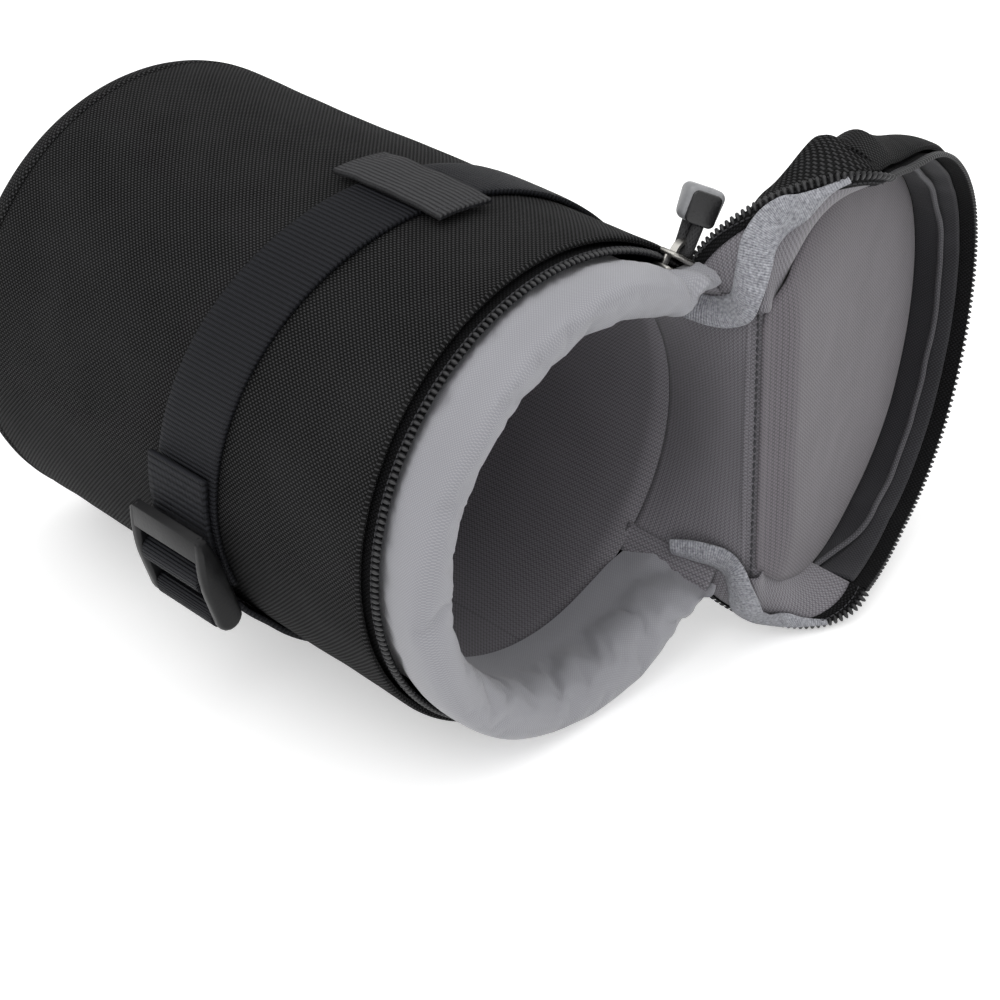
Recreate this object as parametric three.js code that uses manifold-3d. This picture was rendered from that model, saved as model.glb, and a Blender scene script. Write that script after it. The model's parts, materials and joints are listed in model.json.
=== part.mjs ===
// A padded lens pouch: a soft cylinder on its side, with a zipped lid folded back on a fabric hinge.
// Millimetres, +Z up. The pouch's axis runs along X with the mouth towards +X and the hinge towards +Y.
// The origin is the middle of the flat strip of the underside that the pouch rests on.
import * as THREE from 'three';
import { mergeVertices } from 'three/addons/utils/BufferGeometryUtils.js';
import Module from 'manifold-3d';

const wasm = await Module();
wasm.setup();

// Driving dimensions of the padded body
const OUTER_RADIUS = 60;
const BODY_LENGTH = 156;
const SHELL_THICKNESS = 2;
const HEM_THICKNESS = 0.6;
const FOAM_THICKNESS = 8;
const LINING_THICKNESS = 0.8;
const BASE_DEPTH = 11;
const BASE_EDGE_RADIUS = 9.5;
const BASE_FOAM_THICKNESS = 7.4;
const FLAT_DEPTH = 1.5;

// Zip around the mouth, slider and cord pull
const TAPE_THICKNESS = 0.7;
const TAPE_WIDTH = 8.1;
const TAPE_UNDER_SHELL = 0.45;
const CHAIN_GAP = 1.1;
const TOOTH_PITCH = 2.4;
const TOOTH_DEPTH = 0.95;
const TOOTH_ROOT_WIDTH = 1.1;
const TOOTH_HEIGHT = 1.6;
const ZIP_END_GAP = THREE.MathUtils.degToRad(1);
const SLIDER_END_GAP = THREE.MathUtils.degToRad(0.2);
const SLIDER_LENGTH = 11;
const SLIDER_WIDTH = 8.4;
const SLIDER_PLATE = 1.2;
const SLIDER_FLANGE = 1.2;
const SLIDER_POST = 0.5;
const SLIDER_POST_FROM = 0.6;
const SLIDER_POST_TO = 0.96;
const CROWN_HALF_LENGTH = 3.4;
const CROWN_WIDTH = 1.8;
const CROWN_SHOULDER = 1.2;
const CROWN_HOLE_RADIUS = 1.6;
const CROWN_HOLE_HEIGHT = 2.1;
const PULL_CORD_RADIUS = 1.1;
const PULL_CORD_BEND = 2.6;
const PULL_CORD_REACH = 6;
const GRIP_WIDTH = 12;
const GRIP_HEIGHT = 9;
const GRIP_TAPER = 1;
const GRIP_THICKNESS = 5;
const GRIP_EDGE = 1.2;
const PULL_TILT = THREE.MathUtils.degToRad(10);

// Padded collar inside the zip
const COLLAR_THICKNESS = 8.1;
const COLLAR_ROOT = 12;
const COLLAR_COVER = 0.8;
const COLLAR_END_GAP = THREE.MathUtils.degToRad(3);
const COLLAR_PINCH = 0.35;
const COLLAR_PINCH_ANGLE = THREE.MathUtils.degToRad(16);

// Lid and its fabric hinge
const LID_DEPTH = 21;
const LID_SHELL = 1.2;
const LID_FOAM = 4;
const LID_LINING = 0.8;
const LID_OVER_COLLAR = 0.9;
const RIM_THICKNESS = 1.7;
const RIM_LINING_INSET = 0.45;
const HINGE_INSET = 1;
const HINGE_OUTER = 1.2;
const HINGE_EDGE_CLEARANCE = 2.2;
const HINGE_FOAM_EDGE = 1;
const HINGE_FOAM_SLACK = 1.5;
const HINGE_STEPS = 20;
const GUSSET_THICKNESS = 1.2;
const GUSSET_BOW = 8;
const GUSSET_BOW_LEAN = 0.4;
const GUSSET_START_GAP = THREE.MathUtils.degToRad(6);
const GUSSET_END_GAP = THREE.MathUtils.degToRad(0.4);
const GUSSET_FOOT_REACH = 2.5;
const GUSSET_FOOT_RISE = 0.5;
const LID_OPENING = THREE.MathUtils.degToRad(197);
const HINGE_ROLL = THREE.MathUtils.degToRad(3);
const HINGE_HALF_ANGLE = THREE.MathUtils.degToRad(43);
const RIM_START = THREE.MathUtils.degToRad(78);

// Webbing strap, keeper tab and ladder-lock buckle
const STRAP_WIDTH = 20;
const STRAP_THICKNESS = 1.6;
const STRAP_PLACE = 51.1;
const STRAP_SLANT_ACROSS = 10.3;
const STRAP_SLANT_UP = 4;
const STRAP_PAST_BUCKLE = THREE.MathUtils.degToRad(6);
const STRAP_UNDER_ANGLE = THREE.MathUtils.degToRad(22);
const KEEPER_LENGTH = 33;
const KEEPER_WIDTH = 18;
const KEEPER_THICKNESS = 1.4;
const KEEPER_ANGLE = THREE.MathUtils.degToRad(92);
const BUCKLE_ANGLE = THREE.MathUtils.degToRad(197);
const BUCKLE_SIDE_GAP = 0.3;
const BUCKLE_RAIL = 3;
const BUCKLE_BAR_RADIUS = 1.9;
const BUCKLE_BAR_HEIGHT = 3.9;
const BUCKLE_BAR_SPACING = 11.5;
const BUCKLE_LOWER_BAR = 10.5;
const BUCKLE_LIP_LENGTH = 8;
const BUCKLE_LIP_REACH = 14.5;
const BUCKLE_LIP_THICKNESS = 2.2;
const BUCKLE_LIP_HEIGHT = 1.9;
const BUCKLE_RAIL_RADIUS = 3.5;
const STRAP_TAIL = 26;
const FOLD_LAP = THREE.MathUtils.degToRad(0.2);
const ANCHOR_LAP = THREE.MathUtils.degToRad(1);
const ANCHOR_THINNING = THREE.MathUtils.degToRad(12);

// Sewn layers and moving pieces keep this much apart
const CLEARANCE = 0.3;
const ROUND_STEPS = 56;
const ARC_STEPS = 36;
const CORD_SIDES = 8;

// Layers of the wall, from the outside in
const shellInner = OUTER_RADIUS - SHELL_THICKNESS;
const foamOuter = shellInner - CLEARANCE;
const foamInner = foamOuter - FOAM_THICKNESS;
const liningOuter = foamInner - CLEARANCE;
const liningInner = liningOuter - LINING_THICKNESS;
const axisHeight = OUTER_RADIUS - FLAT_DEPTH;

// Layers of the zip, from the outside in, and places along the axis from the zip's centre plane
const tapeOuter = shellInner - TAPE_UNDER_SHELL;
const tapeInner = tapeOuter - TAPE_THICKNESS;
const tapeMiddle = (tapeOuter + tapeInner) / 2;
const teethOuter = tapeMiddle + TOOTH_HEIGHT / 2;
const teethInner = tapeMiddle - TOOTH_HEIGHT / 2;
const plateTopInner = teethOuter + CLEARANCE;
const plateTopOuter = plateTopInner + SLIDER_PLATE;
const plateLowOuter = teethInner - CLEARANCE;
const plateLowInner = plateLowOuter - SLIDER_PLATE;
const toothTip = CHAIN_GAP / 2;
const toothRoot = toothTip + TOOTH_DEPTH;
const toothBack = toothRoot + TOOTH_ROOT_WIDTH;
const tapeStart = toothBack + CLEARANCE;
const tapeEnd = tapeStart + TAPE_WIDTH;
const hemPlace = SLIDER_WIDTH / 2 + CLEARANCE;
const wallEnd = -(COLLAR_ROOT + CLEARANCE);
const bodyEnd = -BODY_LENGTH;
const shellStart = bodyEnd + BASE_DEPTH;

// Layers of the lid in its closed place, and the line that it folds on
const lidFoamOuter = LID_DEPTH - LID_SHELL - CLEARANCE;
const lidFoamInner = lidFoamOuter - LID_FOAM;
const lidLiningOuter = lidFoamInner - CLEARANCE;
const lidLiningInner = lidLiningOuter - LID_LINING;
const rimInner = OUTER_RADIUS - RIM_THICKNESS;
const panelRadius = rimInner - CLEARANCE;
const rimLiningOuter = tapeInner - RIM_LINING_INSET;
const rimLiningInner = rimLiningOuter - LINING_THICKNESS;
const collarOuter = plateLowInner - CLEARANCE;
const collarInner = collarOuter - COLLAR_THICKNESS;
const collarTip = lidLiningInner - LID_OVER_COLLAR;
const hingeX = LID_DEPTH - HINGE_INSET;
const hingeY = shellInner * Math.cos(HINGE_HALF_ANGLE);
const hingeTop = hingeX - HINGE_EDGE_CLEARANCE;
const foldEdge = hingeY - CLEARANCE;
const zipStart = HINGE_HALF_ANGLE + ZIP_END_GAP;
const sliderHalfAngle = SLIDER_LENGTH / 2 / shellInner;
const sliderRest = zipStart + sliderHalfAngle + SLIDER_END_GAP;

// Strap layers
const strapInner = OUTER_RADIUS + CLEARANCE;
const strapOuter = strapInner + STRAP_THICKNESS;
const buckleSeat = strapOuter + CLEARANCE;
const buckleHalf = STRAP_WIDTH / 2 + BUCKLE_SIDE_GAP + BUCKLE_RAIL;

const fullTurn = 2 * Math.PI;

// Point at a place along the axis, a radius and an angle from +Y towards +Z.
function polar(x, radius, angle) {
  return new THREE.Vector3(x, radius * Math.cos(angle), radius * Math.sin(angle));
}

// As polar, with the underside settled flat under its own weight, each layer by the same depth.
function settled(x, radius, angle) {
  const point = polar(x, radius, angle);
  if (radius > FLAT_DEPTH) point.z = Math.max(point.z, FLAT_DEPTH - radius);
  return point;
}

// Triangles that close one end of a loft, as indices into its section.
function capTriangles(section) {
  const normal = new THREE.Vector3();
  section.forEach((point, i) => {
    normal.add(new THREE.Vector3().crossVectors(point, section[(i + 1) % section.length]));
  });
  normal.normalize();
  const across = new THREE.Vector3().subVectors(section[1], section[0]).normalize();
  const along = new THREE.Vector3().crossVectors(normal, across);
  const flat = section.map((point) => new THREE.Vector2(point.dot(across), point.dot(along)));
  return THREE.ShapeUtils.triangulateShape(flat, []);
}

// Volume enclosed by an indexed geometry, negative where its faces point inwards.
function signedVolume(geometry) {
  const position = geometry.getAttribute('position');
  const index = geometry.index;
  const corner = [0, 1, 2].map(() => new THREE.Vector3());
  let volume = 0;
  for (let i = 0; i < index.count; i += 3) {
    corner.forEach((point, k) => point.fromBufferAttribute(position, index.getX(i + k)));
    volume += corner[0].dot(new THREE.Vector3().crossVectors(corner[1], corner[2])) / 6;
  }
  return volume;
}

// The same solid with its faces pointing outwards.
function facingOut(geometry) {
  if (signedVolume(geometry) > 0) return geometry;
  const index = [...geometry.index.array];
  for (let i = 0; i < index.length; i += 3) [index[i + 1], index[i + 2]] = [index[i + 2], index[i + 1]];
  return geometry.setIndex(index);
}

// Closed solid through a row of sections with equal point counts, looped or capped at both ends.
function loft(sections, looped = false) {
  const size = sections[0].length;
  const triangles = [];
  const spans = looped ? sections.length : sections.length - 1;
  for (let s = 0; s < spans; s += 1) {
    const here = s * size;
    const next = ((s + 1) % sections.length) * size;
    for (let i = 0; i < size; i += 1) {
      const j = (i + 1) % size;
      triangles.push(here + i, next + i, next + j, here + i, next + j, here + j);
    }
  }
  if (!looped) {
    const last = (sections.length - 1) * size;
    capTriangles(sections[0]).forEach(([a, b, c]) => triangles.push(a, b, c));
    capTriangles(sections.at(-1)).forEach(([a, b, c]) => triangles.push(last + c, last + b, last + a));
  }
  const geometry = new THREE.BufferGeometry().setFromPoints(sections.flat());
  geometry.setIndex(triangles);
  return facingOut(geometry);
}

// Solid swept round the axis: outline(angle) gives the section as [place along the axis, radius] pairs.
function sweep(outline, from, to, steps, place = polar) {
  const looped = Math.abs(to - from - fullTurn) < 1e-6;
  const sections = [];
  for (let s = 0; s < (looped ? steps : steps + 1); s += 1) {
    const angle = from + ((to - from) * s) / steps;
    sections.push(outline(angle).map(([x, radius]) => place(x, radius, angle)));
  }
  return loft(sections, looped);
}

// Rectangular section between two places along the axis and two radii.
function band(x0, x1, r0, r1) {
  return [[x0, r0], [x1, r0], [x1, r1], [x0, r1]];
}

// Points of an arc in the section plane.
function arcPoints(x, radius, size, from, to, steps) {
  return Array.from({ length: steps + 1 }, (_, i) => {
    const angle = from + ((to - from) * i) / steps;
    return [x + size * Math.cos(angle), radius + size * Math.sin(angle)];
  });
}

// Solid of revolution whose profile starts and ends on the axis, with a settled underside.
function cushionDisc(profile) {
  const points = profile.map(([x, radius]) => new THREE.Vector2(radius, x));
  const geometry = new THREE.LatheGeometry(points, ROUND_STEPS);
  const position = geometry.getAttribute('position');
  for (let i = 0; i < position.count; i += 1) {
    const angle = Math.atan2(position.getZ(i), position.getX(i));
    const radius = Math.hypot(position.getX(i), position.getZ(i));
    const point = settled(position.getY(i), radius, angle);
    position.setXYZ(i, point.x, point.y, point.z);
  }
  geometry.deleteAttribute('normal');
  geometry.deleteAttribute('uv');
  return facingOut(mergeVertices(geometry, 1e-4));
}

// Shape extruded along X between two places, its own axes turned to Y and Z.
function extrudeAlongX(shape, x0, x1, curveSegments = 12) {
  const geometry = new THREE.ExtrudeGeometry(shape, { depth: x1 - x0, bevelEnabled: false, curveSegments });
  geometry.rotateX(Math.PI / 2).rotateZ(Math.PI / 2);
  return geometry.translate(x0, 0, 0);
}

function solidOf(geometry) {
  const bare = geometry.clone();
  bare.deleteAttribute('normal');
  bare.deleteAttribute('uv');
  const merged = mergeVertices(bare, 1e-4);
  const vertProperties = new Float32Array(merged.getAttribute('position').array);
  const triVerts = new Uint32Array(merged.index.array);
  return new wasm.Manifold(new wasm.Mesh({ numProp: 3, vertProperties, triVerts }));
}

function geometryOf(solid) {
  const mesh = solid.getMesh();
  const geometry = new THREE.BufferGeometry();
  geometry.setAttribute('position', new THREE.BufferAttribute(mesh.vertProperties, 3));
  geometry.setIndex(new THREE.BufferAttribute(mesh.triVerts, 1));
  return geometry;
}

function joined(...geometries) {
  return geometryOf(geometries.map(solidOf).reduce((whole, part) => whole.add(part)));
}

// Finishes
const wovenBlack = { color: 0x242528, roughness: 0.85, metalness: 0 };
const liningGrey = { color: 0x77787b, roughness: 0.7, metalness: 0 };
const collarGrey = { color: 0x9a9ca0, roughness: 0.6, metalness: 0 };
const foamGrey = { color: 0x55565a, roughness: 0.95, metalness: 0 };
const tapeBlack = { color: 0x18191b, roughness: 0.8, metalness: 0 };
const coilBlack = { color: 0x101113, roughness: 0.45, metalness: 0 };
const webbingBlack = { color: 0x1c1e22, roughness: 0.75, metalness: 0 };
const mouldedBlack = { color: 0x2a2b2e, roughness: 0.4, metalness: 0 };
const nickel = { color: 0xc2c3c4, roughness: 0.25, metalness: 1 };

function piece(parent, name, geometry, finish) {
  const mesh = new THREE.Mesh(geometry, new THREE.MeshStandardMaterial(finish));
  mesh.name = name;
  parent.add(mesh);
}

const pouch = new THREE.Group();

// The body's own frame is on the axis, at the zip's centre plane.
const body = new THREE.Group();
body.position.set(BODY_LENGTH / 2, 0, axisHeight);
pouch.add(body);

// The mouth turns with the hinge, which sits a little above the horizontal.
const mouth = new THREE.Group();
mouth.rotation.x = HINGE_ROLL;
body.add(mouth);

function addBody() {
  const tube = (x0, x1, r0, r1) => sweep(() => band(x0, x1, r0, r1), 0, fullTurn, ROUND_STEPS, settled);
  const hemInner = OUTER_RADIUS - HEM_THICKNESS;
  const hemStart = -(tapeEnd + CLEARANCE);
  const shell = [
    [shellStart, shellInner], [hemStart - SHELL_THICKNESS, shellInner], [hemStart, hemInner],
    [-hemPlace, hemInner], [-hemPlace, OUTER_RADIUS], [shellStart, OUTER_RADIUS],
  ];
  piece(body, 'body_shell', sweep(() => shell, 0, fullTurn, ROUND_STEPS, settled), wovenBlack);
  const foamStart = bodyEnd + SHELL_THICKNESS + BASE_FOAM_THICKNESS + 2 * CLEARANCE;
  piece(body, 'wall_foam', tube(foamStart, wallEnd, foamInner, foamOuter), foamGrey);
  piece(body, 'body_lining', tube(foamStart, wallEnd, liningInner, liningOuter), liningGrey);

  const edgeX = bodyEnd + BASE_EDGE_RADIUS;
  const edgeR = OUTER_RADIUS - BASE_EDGE_RADIUS;
  const innerEdge = BASE_EDGE_RADIUS - SHELL_THICKNESS;
  const panelEnd = shellStart - CLEARANCE;
  piece(body, 'base_panel', cushionDisc([
    [bodyEnd, 0],
    ...arcPoints(edgeX, edgeR, BASE_EDGE_RADIUS, Math.PI, Math.PI / 2, 4),
    [panelEnd, OUTER_RADIUS],
    [panelEnd, shellInner],
    ...arcPoints(edgeX, edgeR, innerEdge, Math.PI / 2, Math.PI, 4),
    [bodyEnd + SHELL_THICKNESS, 0],
  ]), wovenBlack);
  const padStart = bodyEnd + SHELL_THICKNESS + CLEARANCE;
  const padEdge = innerEdge - CLEARANCE;
  piece(body, 'base_foam', cushionDisc([
    [padStart, 0],
    ...arcPoints(edgeX, edgeR, padEdge, Math.PI, Math.PI / 2, 3),
    [padStart + BASE_FOAM_THICKNESS, foamOuter],
    [padStart + BASE_FOAM_THICKNESS, 0],
  ]), foamGrey);
  piece(body, 'base_lining', cushionDisc([
    [foamStart, 0],
    [foamStart, liningInner - CLEARANCE],
    [foamStart + LINING_THICKNESS, liningInner - CLEARANCE],
    [foamStart + LINING_THICKNESS, 0],
  ]), liningGrey);
}

// Collar: a foam roll in a fabric cover that is open at its root and pinched flat at both ends.
function addCollar() {
  const first = zipStart + COLLAR_END_GAP;
  const last = fullTurn - first;
  const middle = (collarOuter + collarInner) / 2;
  const pinched = (outline) => (angle) => {
    const fromEnd = Math.min(angle - first, last - angle) / COLLAR_PINCH_ANGLE;
    const share = COLLAR_PINCH + (1 - COLLAR_PINCH) * THREE.MathUtils.smoothstep(fromEnd, 0, 1);
    return outline.map(([x, radius]) => [
      -COLLAR_ROOT + (x + COLLAR_ROOT) * share,
      collarOuter - COLLAR_THICKNESS / 2 + (radius - middle) * share,
    ]);
  };
  const half = COLLAR_THICKNESS / 2;
  const tipX = collarTip - half;
  const innerHalf = half - COLLAR_COVER;
  const cover = [
    [-COLLAR_ROOT, collarOuter],
    ...arcPoints(tipX, middle, half, Math.PI / 2, -Math.PI / 2, 6),
    [-COLLAR_ROOT, collarInner],
    [-COLLAR_ROOT, collarInner + COLLAR_COVER],
    ...arcPoints(tipX, middle, innerHalf, -Math.PI / 2, Math.PI / 2, 6),
    [-COLLAR_ROOT, collarOuter - COLLAR_COVER],
  ];
  piece(mouth, 'collar_cover', sweep(pinched(cover), first, last, ARC_STEPS), collarGrey);
  const foamHalf = innerHalf - 2 * CLEARANCE;
  const foam = [
    [-COLLAR_ROOT, middle + foamHalf],
    ...arcPoints(tipX, middle, foamHalf, Math.PI / 2, -Math.PI / 2, 6),
    [-COLLAR_ROOT, middle - foamHalf],
  ];
  piece(mouth, 'collar_foam', sweep(pinched(foam), first, last, ARC_STEPS), foamGrey);
}

// One side of the zip: side -1 is the body's half and +1 the lid's.
function addZipSide(parent, label, side, from, to) {
  const tape = band(side * tapeStart, side * tapeEnd, tapeInner, tapeOuter);
  piece(parent, `zip_tape_${label}`, sweep(() => tape, from, to, ARC_STEPS), tapeBlack);
  const teeth = Math.round(((to - from) * tapeMiddle) / TOOTH_PITCH);
  const toothAngle = (to - from) / (2 * teeth);
  const row = (angle) => {
    const edge = Math.round((angle - from) / toothAngle) % 2 ? toothTip : toothRoot;
    return band(side * edge, side * toothBack, teethInner, teethOuter);
  };
  piece(parent, `zip_teeth_${label}`, sweep(row, from, to, 2 * teeth), coilBlack);
}

// Hinge panel: fabric and lining ruled from the round mouth to the straight fold line of the lid.
// The foam between them ends where the narrowing wedge leaves it no thicker than its edge.
function addHingePanel() {
  const chord = (angle, offset) => (hingeY + offset) / Math.cos(angle);
  const liningRise = CLEARANCE + LINING_THICKNESS;
  const outerRise = liningRise + CLEARANCE;
  const start = CLEARANCE - hemPlace;
  const outer = (angle) => [
    [start, shellInner],
    [start, shellInner + HINGE_OUTER],
    [hingeTop, chord(angle, outerRise + HINGE_OUTER)],
    [hingeTop, chord(angle, outerRise)],
  ];
  const lining = (angle) => [
    [-COLLAR_ROOT, liningInner],
    [-COLLAR_ROOT, liningOuter],
    [hingeTop, chord(angle, liningRise)],
    [hingeTop, chord(angle, CLEARANCE)],
  ];
  const between = (line, place) => {
    const [[x0, r0], [x1, r1]] = line;
    return r0 + ((r1 - r0) * (place - x0)) / (x1 - x0);
  };
  const foam = (angle) => {
    const [, liningFoot, liningHead] = lining(angle);
    const [outerFoot, , , outerHead] = outer(angle);
    const outerAt = (place) => between([outerFoot, outerHead], place) - HINGE_FOAM_SLACK;
    const innerAt = (place) => between([liningFoot, liningHead], place) + HINGE_FOAM_SLACK;
    const room = (place) => outerAt(place) - innerAt(place);
    const narrowing = (room(start) - room(hingeTop)) / (hingeTop - start);
    const end = start + (room(start) - HINGE_FOAM_EDGE) / narrowing;
    return [
      [-COLLAR_ROOT, liningOuter + HINGE_FOAM_SLACK],
      [-COLLAR_ROOT, foamOuter],
      [start, foamOuter - HINGE_FOAM_SLACK],
      [end, outerAt(end)],
      [end, innerAt(end)],
    ];
  };
  const half = HINGE_HALF_ANGLE;
  piece(mouth, 'hinge_outer', sweep(outer, -half, half, HINGE_STEPS), wovenBlack);
  piece(mouth, 'hinge_lining', sweep(lining, -half, half, HINGE_STEPS), liningGrey);
  piece(mouth, 'hinge_foam', sweep(foam, -half, half, HINGE_STEPS), foamGrey);
}

// A point of the closed lid, carried to the open place that the pouch is shown in.
function openedLid(point) {
  const hinge = new THREE.Vector3(hingeX, hingeY, 0);
  return point.sub(hinge).applyAxisAngle(new THREE.Vector3(0, 0, 1), LID_OPENING).add(hinge);
}

function addLid() {
  const fold = new THREE.Group();
  fold.position.set(hingeX, hingeY, 0);
  fold.rotation.z = LID_OPENING;
  mouth.add(fold);
  const lid = new THREE.Group();
  lid.position.set(-hingeX, -hingeY, 0);
  fold.add(lid);

  const panel = (x0, x1, edge) => {
    const cut = Math.acos(edge / panelRadius);
    const shape = new THREE.Shape();
    shape.absarc(0, 0, panelRadius, cut, fullTurn - cut, false);
    return extrudeAlongX(shape, x0, x1, ROUND_STEPS);
  };
  piece(lid, 'lid_panel', panel(LID_DEPTH - LID_SHELL, LID_DEPTH, foldEdge), wovenBlack);
  piece(lid, 'lid_foam', panel(lidFoamInner, lidFoamOuter, foldEdge), foamGrey);
  piece(lid, 'lid_lining', panel(lidLiningInner, lidLiningOuter, foldEdge - LINING_THICKNESS), liningGrey);

  const rimEnd = fullTurn - RIM_START;
  const rim = band(hemPlace, LID_DEPTH, rimInner, OUTER_RADIUS);
  piece(lid, 'lid_rim', sweep(() => rim, RIM_START, rimEnd, ARC_STEPS), wovenBlack);
  const rimLining = band(hemPlace, lidLiningInner - CLEARANCE, rimLiningInner, rimLiningOuter);
  piece(lid, 'lid_rim_lining', sweep(() => rimLining, RIM_START, rimEnd, ARC_STEPS), liningGrey);
  addZipSide(lid, 'lid', 1, RIM_START, rimEnd);
}

// Gusset: the soft corner of the rim between the hinge panel and the stiff rim, as it lies with the lid open.
function addGusset(label, side) {
  const rows = 8;
  const columns = 4;
  const radius = OUTER_RADIUS - RIM_THICKNESS / 2;
  const first = HINGE_HALF_ANGLE + GUSSET_START_GAP;
  const last = RIM_START - GUSSET_END_GAP;
  const foot = polar(hemPlace + GUSSET_FOOT_REACH, OUTER_RADIUS + GUSSET_FOOT_RISE, first + ZIP_END_GAP);
  const head = openedLid(polar(hemPlace, radius, last));
  const surface = (u, v) => {
    const seam = openedLid(polar(hingeX, radius, first + (last - first) * u));
    const edge = foot.clone().lerp(head, u);
    edge.z += GUSSET_BOW * Math.sin(Math.PI * u) * (1 - GUSSET_BOW_LEAN * u);
    const point = seam.lerp(edge, v);
    point.z *= side;
    return point;
  };
  const reach = 0.02;
  const normalAt = (u, v) => {
    const alongU = surface(u + reach, v).sub(surface(u - reach, v));
    const alongV = surface(u, v + reach).sub(surface(u, v - reach));
    return alongU.cross(alongV).normalize();
  };
  const sections = [];
  for (let i = 0; i <= rows; i += 1) {
    const face = (offset) => Array.from({ length: columns + 1 }, (_, j) => {
      const [u, v] = [i / rows, j / columns];
      return surface(u, v).addScaledVector(normalAt(u, v), offset);
    });
    sections.push([...face(GUSSET_THICKNESS / 2), ...face(-GUSSET_THICKNESS / 2).reverse()]);
  }
  piece(mouth, `gusset_${label}`, loft(sections), wovenBlack);
}

// Slider: two flanged plates joined by a thin post between the chains, with a crown for the cord pull.
function addSlider() {
  const slider = new THREE.Group();
  slider.rotation.x = sliderRest;
  mouth.add(slider);
  const half = SLIDER_WIDTH / 2;
  const inner = half - SLIDER_FLANGE;
  const channel = (plate, face, lip) => [
    [-half, lip], [-inner, lip], [-inner, face], [inner, face],
    [inner, lip], [half, lip], [half, plate], [-half, plate],
  ];
  const top = channel(plateTopOuter, plateTopInner, tapeOuter + CLEARANCE);
  const low = channel(plateLowInner, plateLowOuter, tapeInner - CLEARANCE);
  const post = band(-SLIDER_POST / 2, SLIDER_POST / 2, plateLowOuter - CLEARANCE, plateTopInner + CLEARANCE);
  const plate = (outline, from, to) => sweep(() => outline, from * sliderHalfAngle, to * sliderHalfAngle, 6);

  const crown = new THREE.Shape();
  crown.moveTo(plateTopInner + CLEARANCE, -CROWN_HALF_LENGTH);
  crown.lineTo(plateTopOuter + CROWN_SHOULDER, -CROWN_HALF_LENGTH);
  crown.absarc(plateTopOuter + CROWN_SHOULDER, 0, CROWN_HALF_LENGTH, -Math.PI / 2, Math.PI / 2, false);
  crown.lineTo(plateTopInner + CLEARANCE, CROWN_HALF_LENGTH);
  const hole = new THREE.Path();
  const pivot = plateTopOuter + CROWN_HOLE_HEIGHT;
  hole.absarc(pivot, 0, CROWN_HOLE_RADIUS, 0, fullTurn, true);
  crown.holes.push(hole);
  piece(slider, 'slider_body', joined(
    plate(top, -1, 1),
    plate(low, -1, 1),
    plate(post, SLIDER_POST_FROM, SLIDER_POST_TO),
    extrudeAlongX(crown, -CROWN_WIDTH / 2, CROWN_WIDTH / 2, 10),
  ), nickel);
  addPull(slider, pivot);
}

// Cord pull: a loop of cord through the crown, and a small moulded grip on its ends.
function addPull(slider, pivot) {
  const pull = new THREE.Group();
  pull.position.set(0, pivot, 0);
  pull.rotation.x = PULL_TILT;
  slider.add(pull);
  const straight = PULL_CORD_REACH - CLEARANCE;
  const bend = PULL_CORD_BEND;
  const turn = new THREE.Path();
  turn.absarc(0, bend, bend, Math.PI, fullTurn, false);
  const turnPoints = turn.getPoints(10).map((p) => new THREE.Vector3(p.x, p.y, 0));
  const route = [new THREE.Vector3(-bend, straight, 0), ...turnPoints, new THREE.Vector3(bend, straight, 0)];
  const sections = route.map((point, i) => {
    const before = route[Math.max(i - 1, 0)];
    const after = route[Math.min(i + 1, route.length - 1)];
    const ahead = new THREE.Vector3().subVectors(after, before).normalize();
    const side = new THREE.Vector3(0, 0, 1);
    const out = new THREE.Vector3().crossVectors(ahead, side);
    return Array.from({ length: CORD_SIDES }, (_, k) => {
      const angle = (fullTurn * k) / CORD_SIDES;
      return point.clone()
        .addScaledVector(side, PULL_CORD_RADIUS * Math.cos(angle))
        .addScaledVector(out, PULL_CORD_RADIUS * Math.sin(angle));
    });
  });
  piece(pull, 'pull_cord', loft(sections), tapeBlack);

  const foot = PULL_CORD_REACH;
  const waist = GRIP_WIDTH / 2 - GRIP_TAPER;
  const outline = new THREE.Shape();
  outline.moveTo(-waist + GRIP_EDGE, foot + GRIP_EDGE);
  outline.lineTo(waist - GRIP_EDGE, foot + GRIP_EDGE);
  const shoulder = foot + GRIP_HEIGHT - 2 * GRIP_EDGE;
  outline.lineTo(GRIP_WIDTH / 2 - GRIP_EDGE, shoulder);
  outline.quadraticCurveTo(0, foot + GRIP_HEIGHT, GRIP_EDGE - GRIP_WIDTH / 2, shoulder);
  const grip = new THREE.ExtrudeGeometry(outline, {
    depth: GRIP_THICKNESS - 2 * GRIP_EDGE,
    bevelThickness: GRIP_EDGE,
    bevelSize: GRIP_EDGE,
    bevelSegments: 3,
    curveSegments: 6,
  });
  grip.translate(0, 0, GRIP_EDGE - GRIP_THICKNESS / 2);
  piece(pull, 'pull_grip', grip, mouldedBlack);
}

// Place of the strap's centre line along the axis, a slanted turn round the body.
function strapPlace(angle) {
  return STRAP_SLANT_ACROSS * Math.cos(angle) + STRAP_SLANT_UP * Math.sin(angle) - STRAP_PLACE;
}

function onStrap(x, radius, angle) {
  return polar(x + strapPlace(angle), radius, angle);
}

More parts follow.
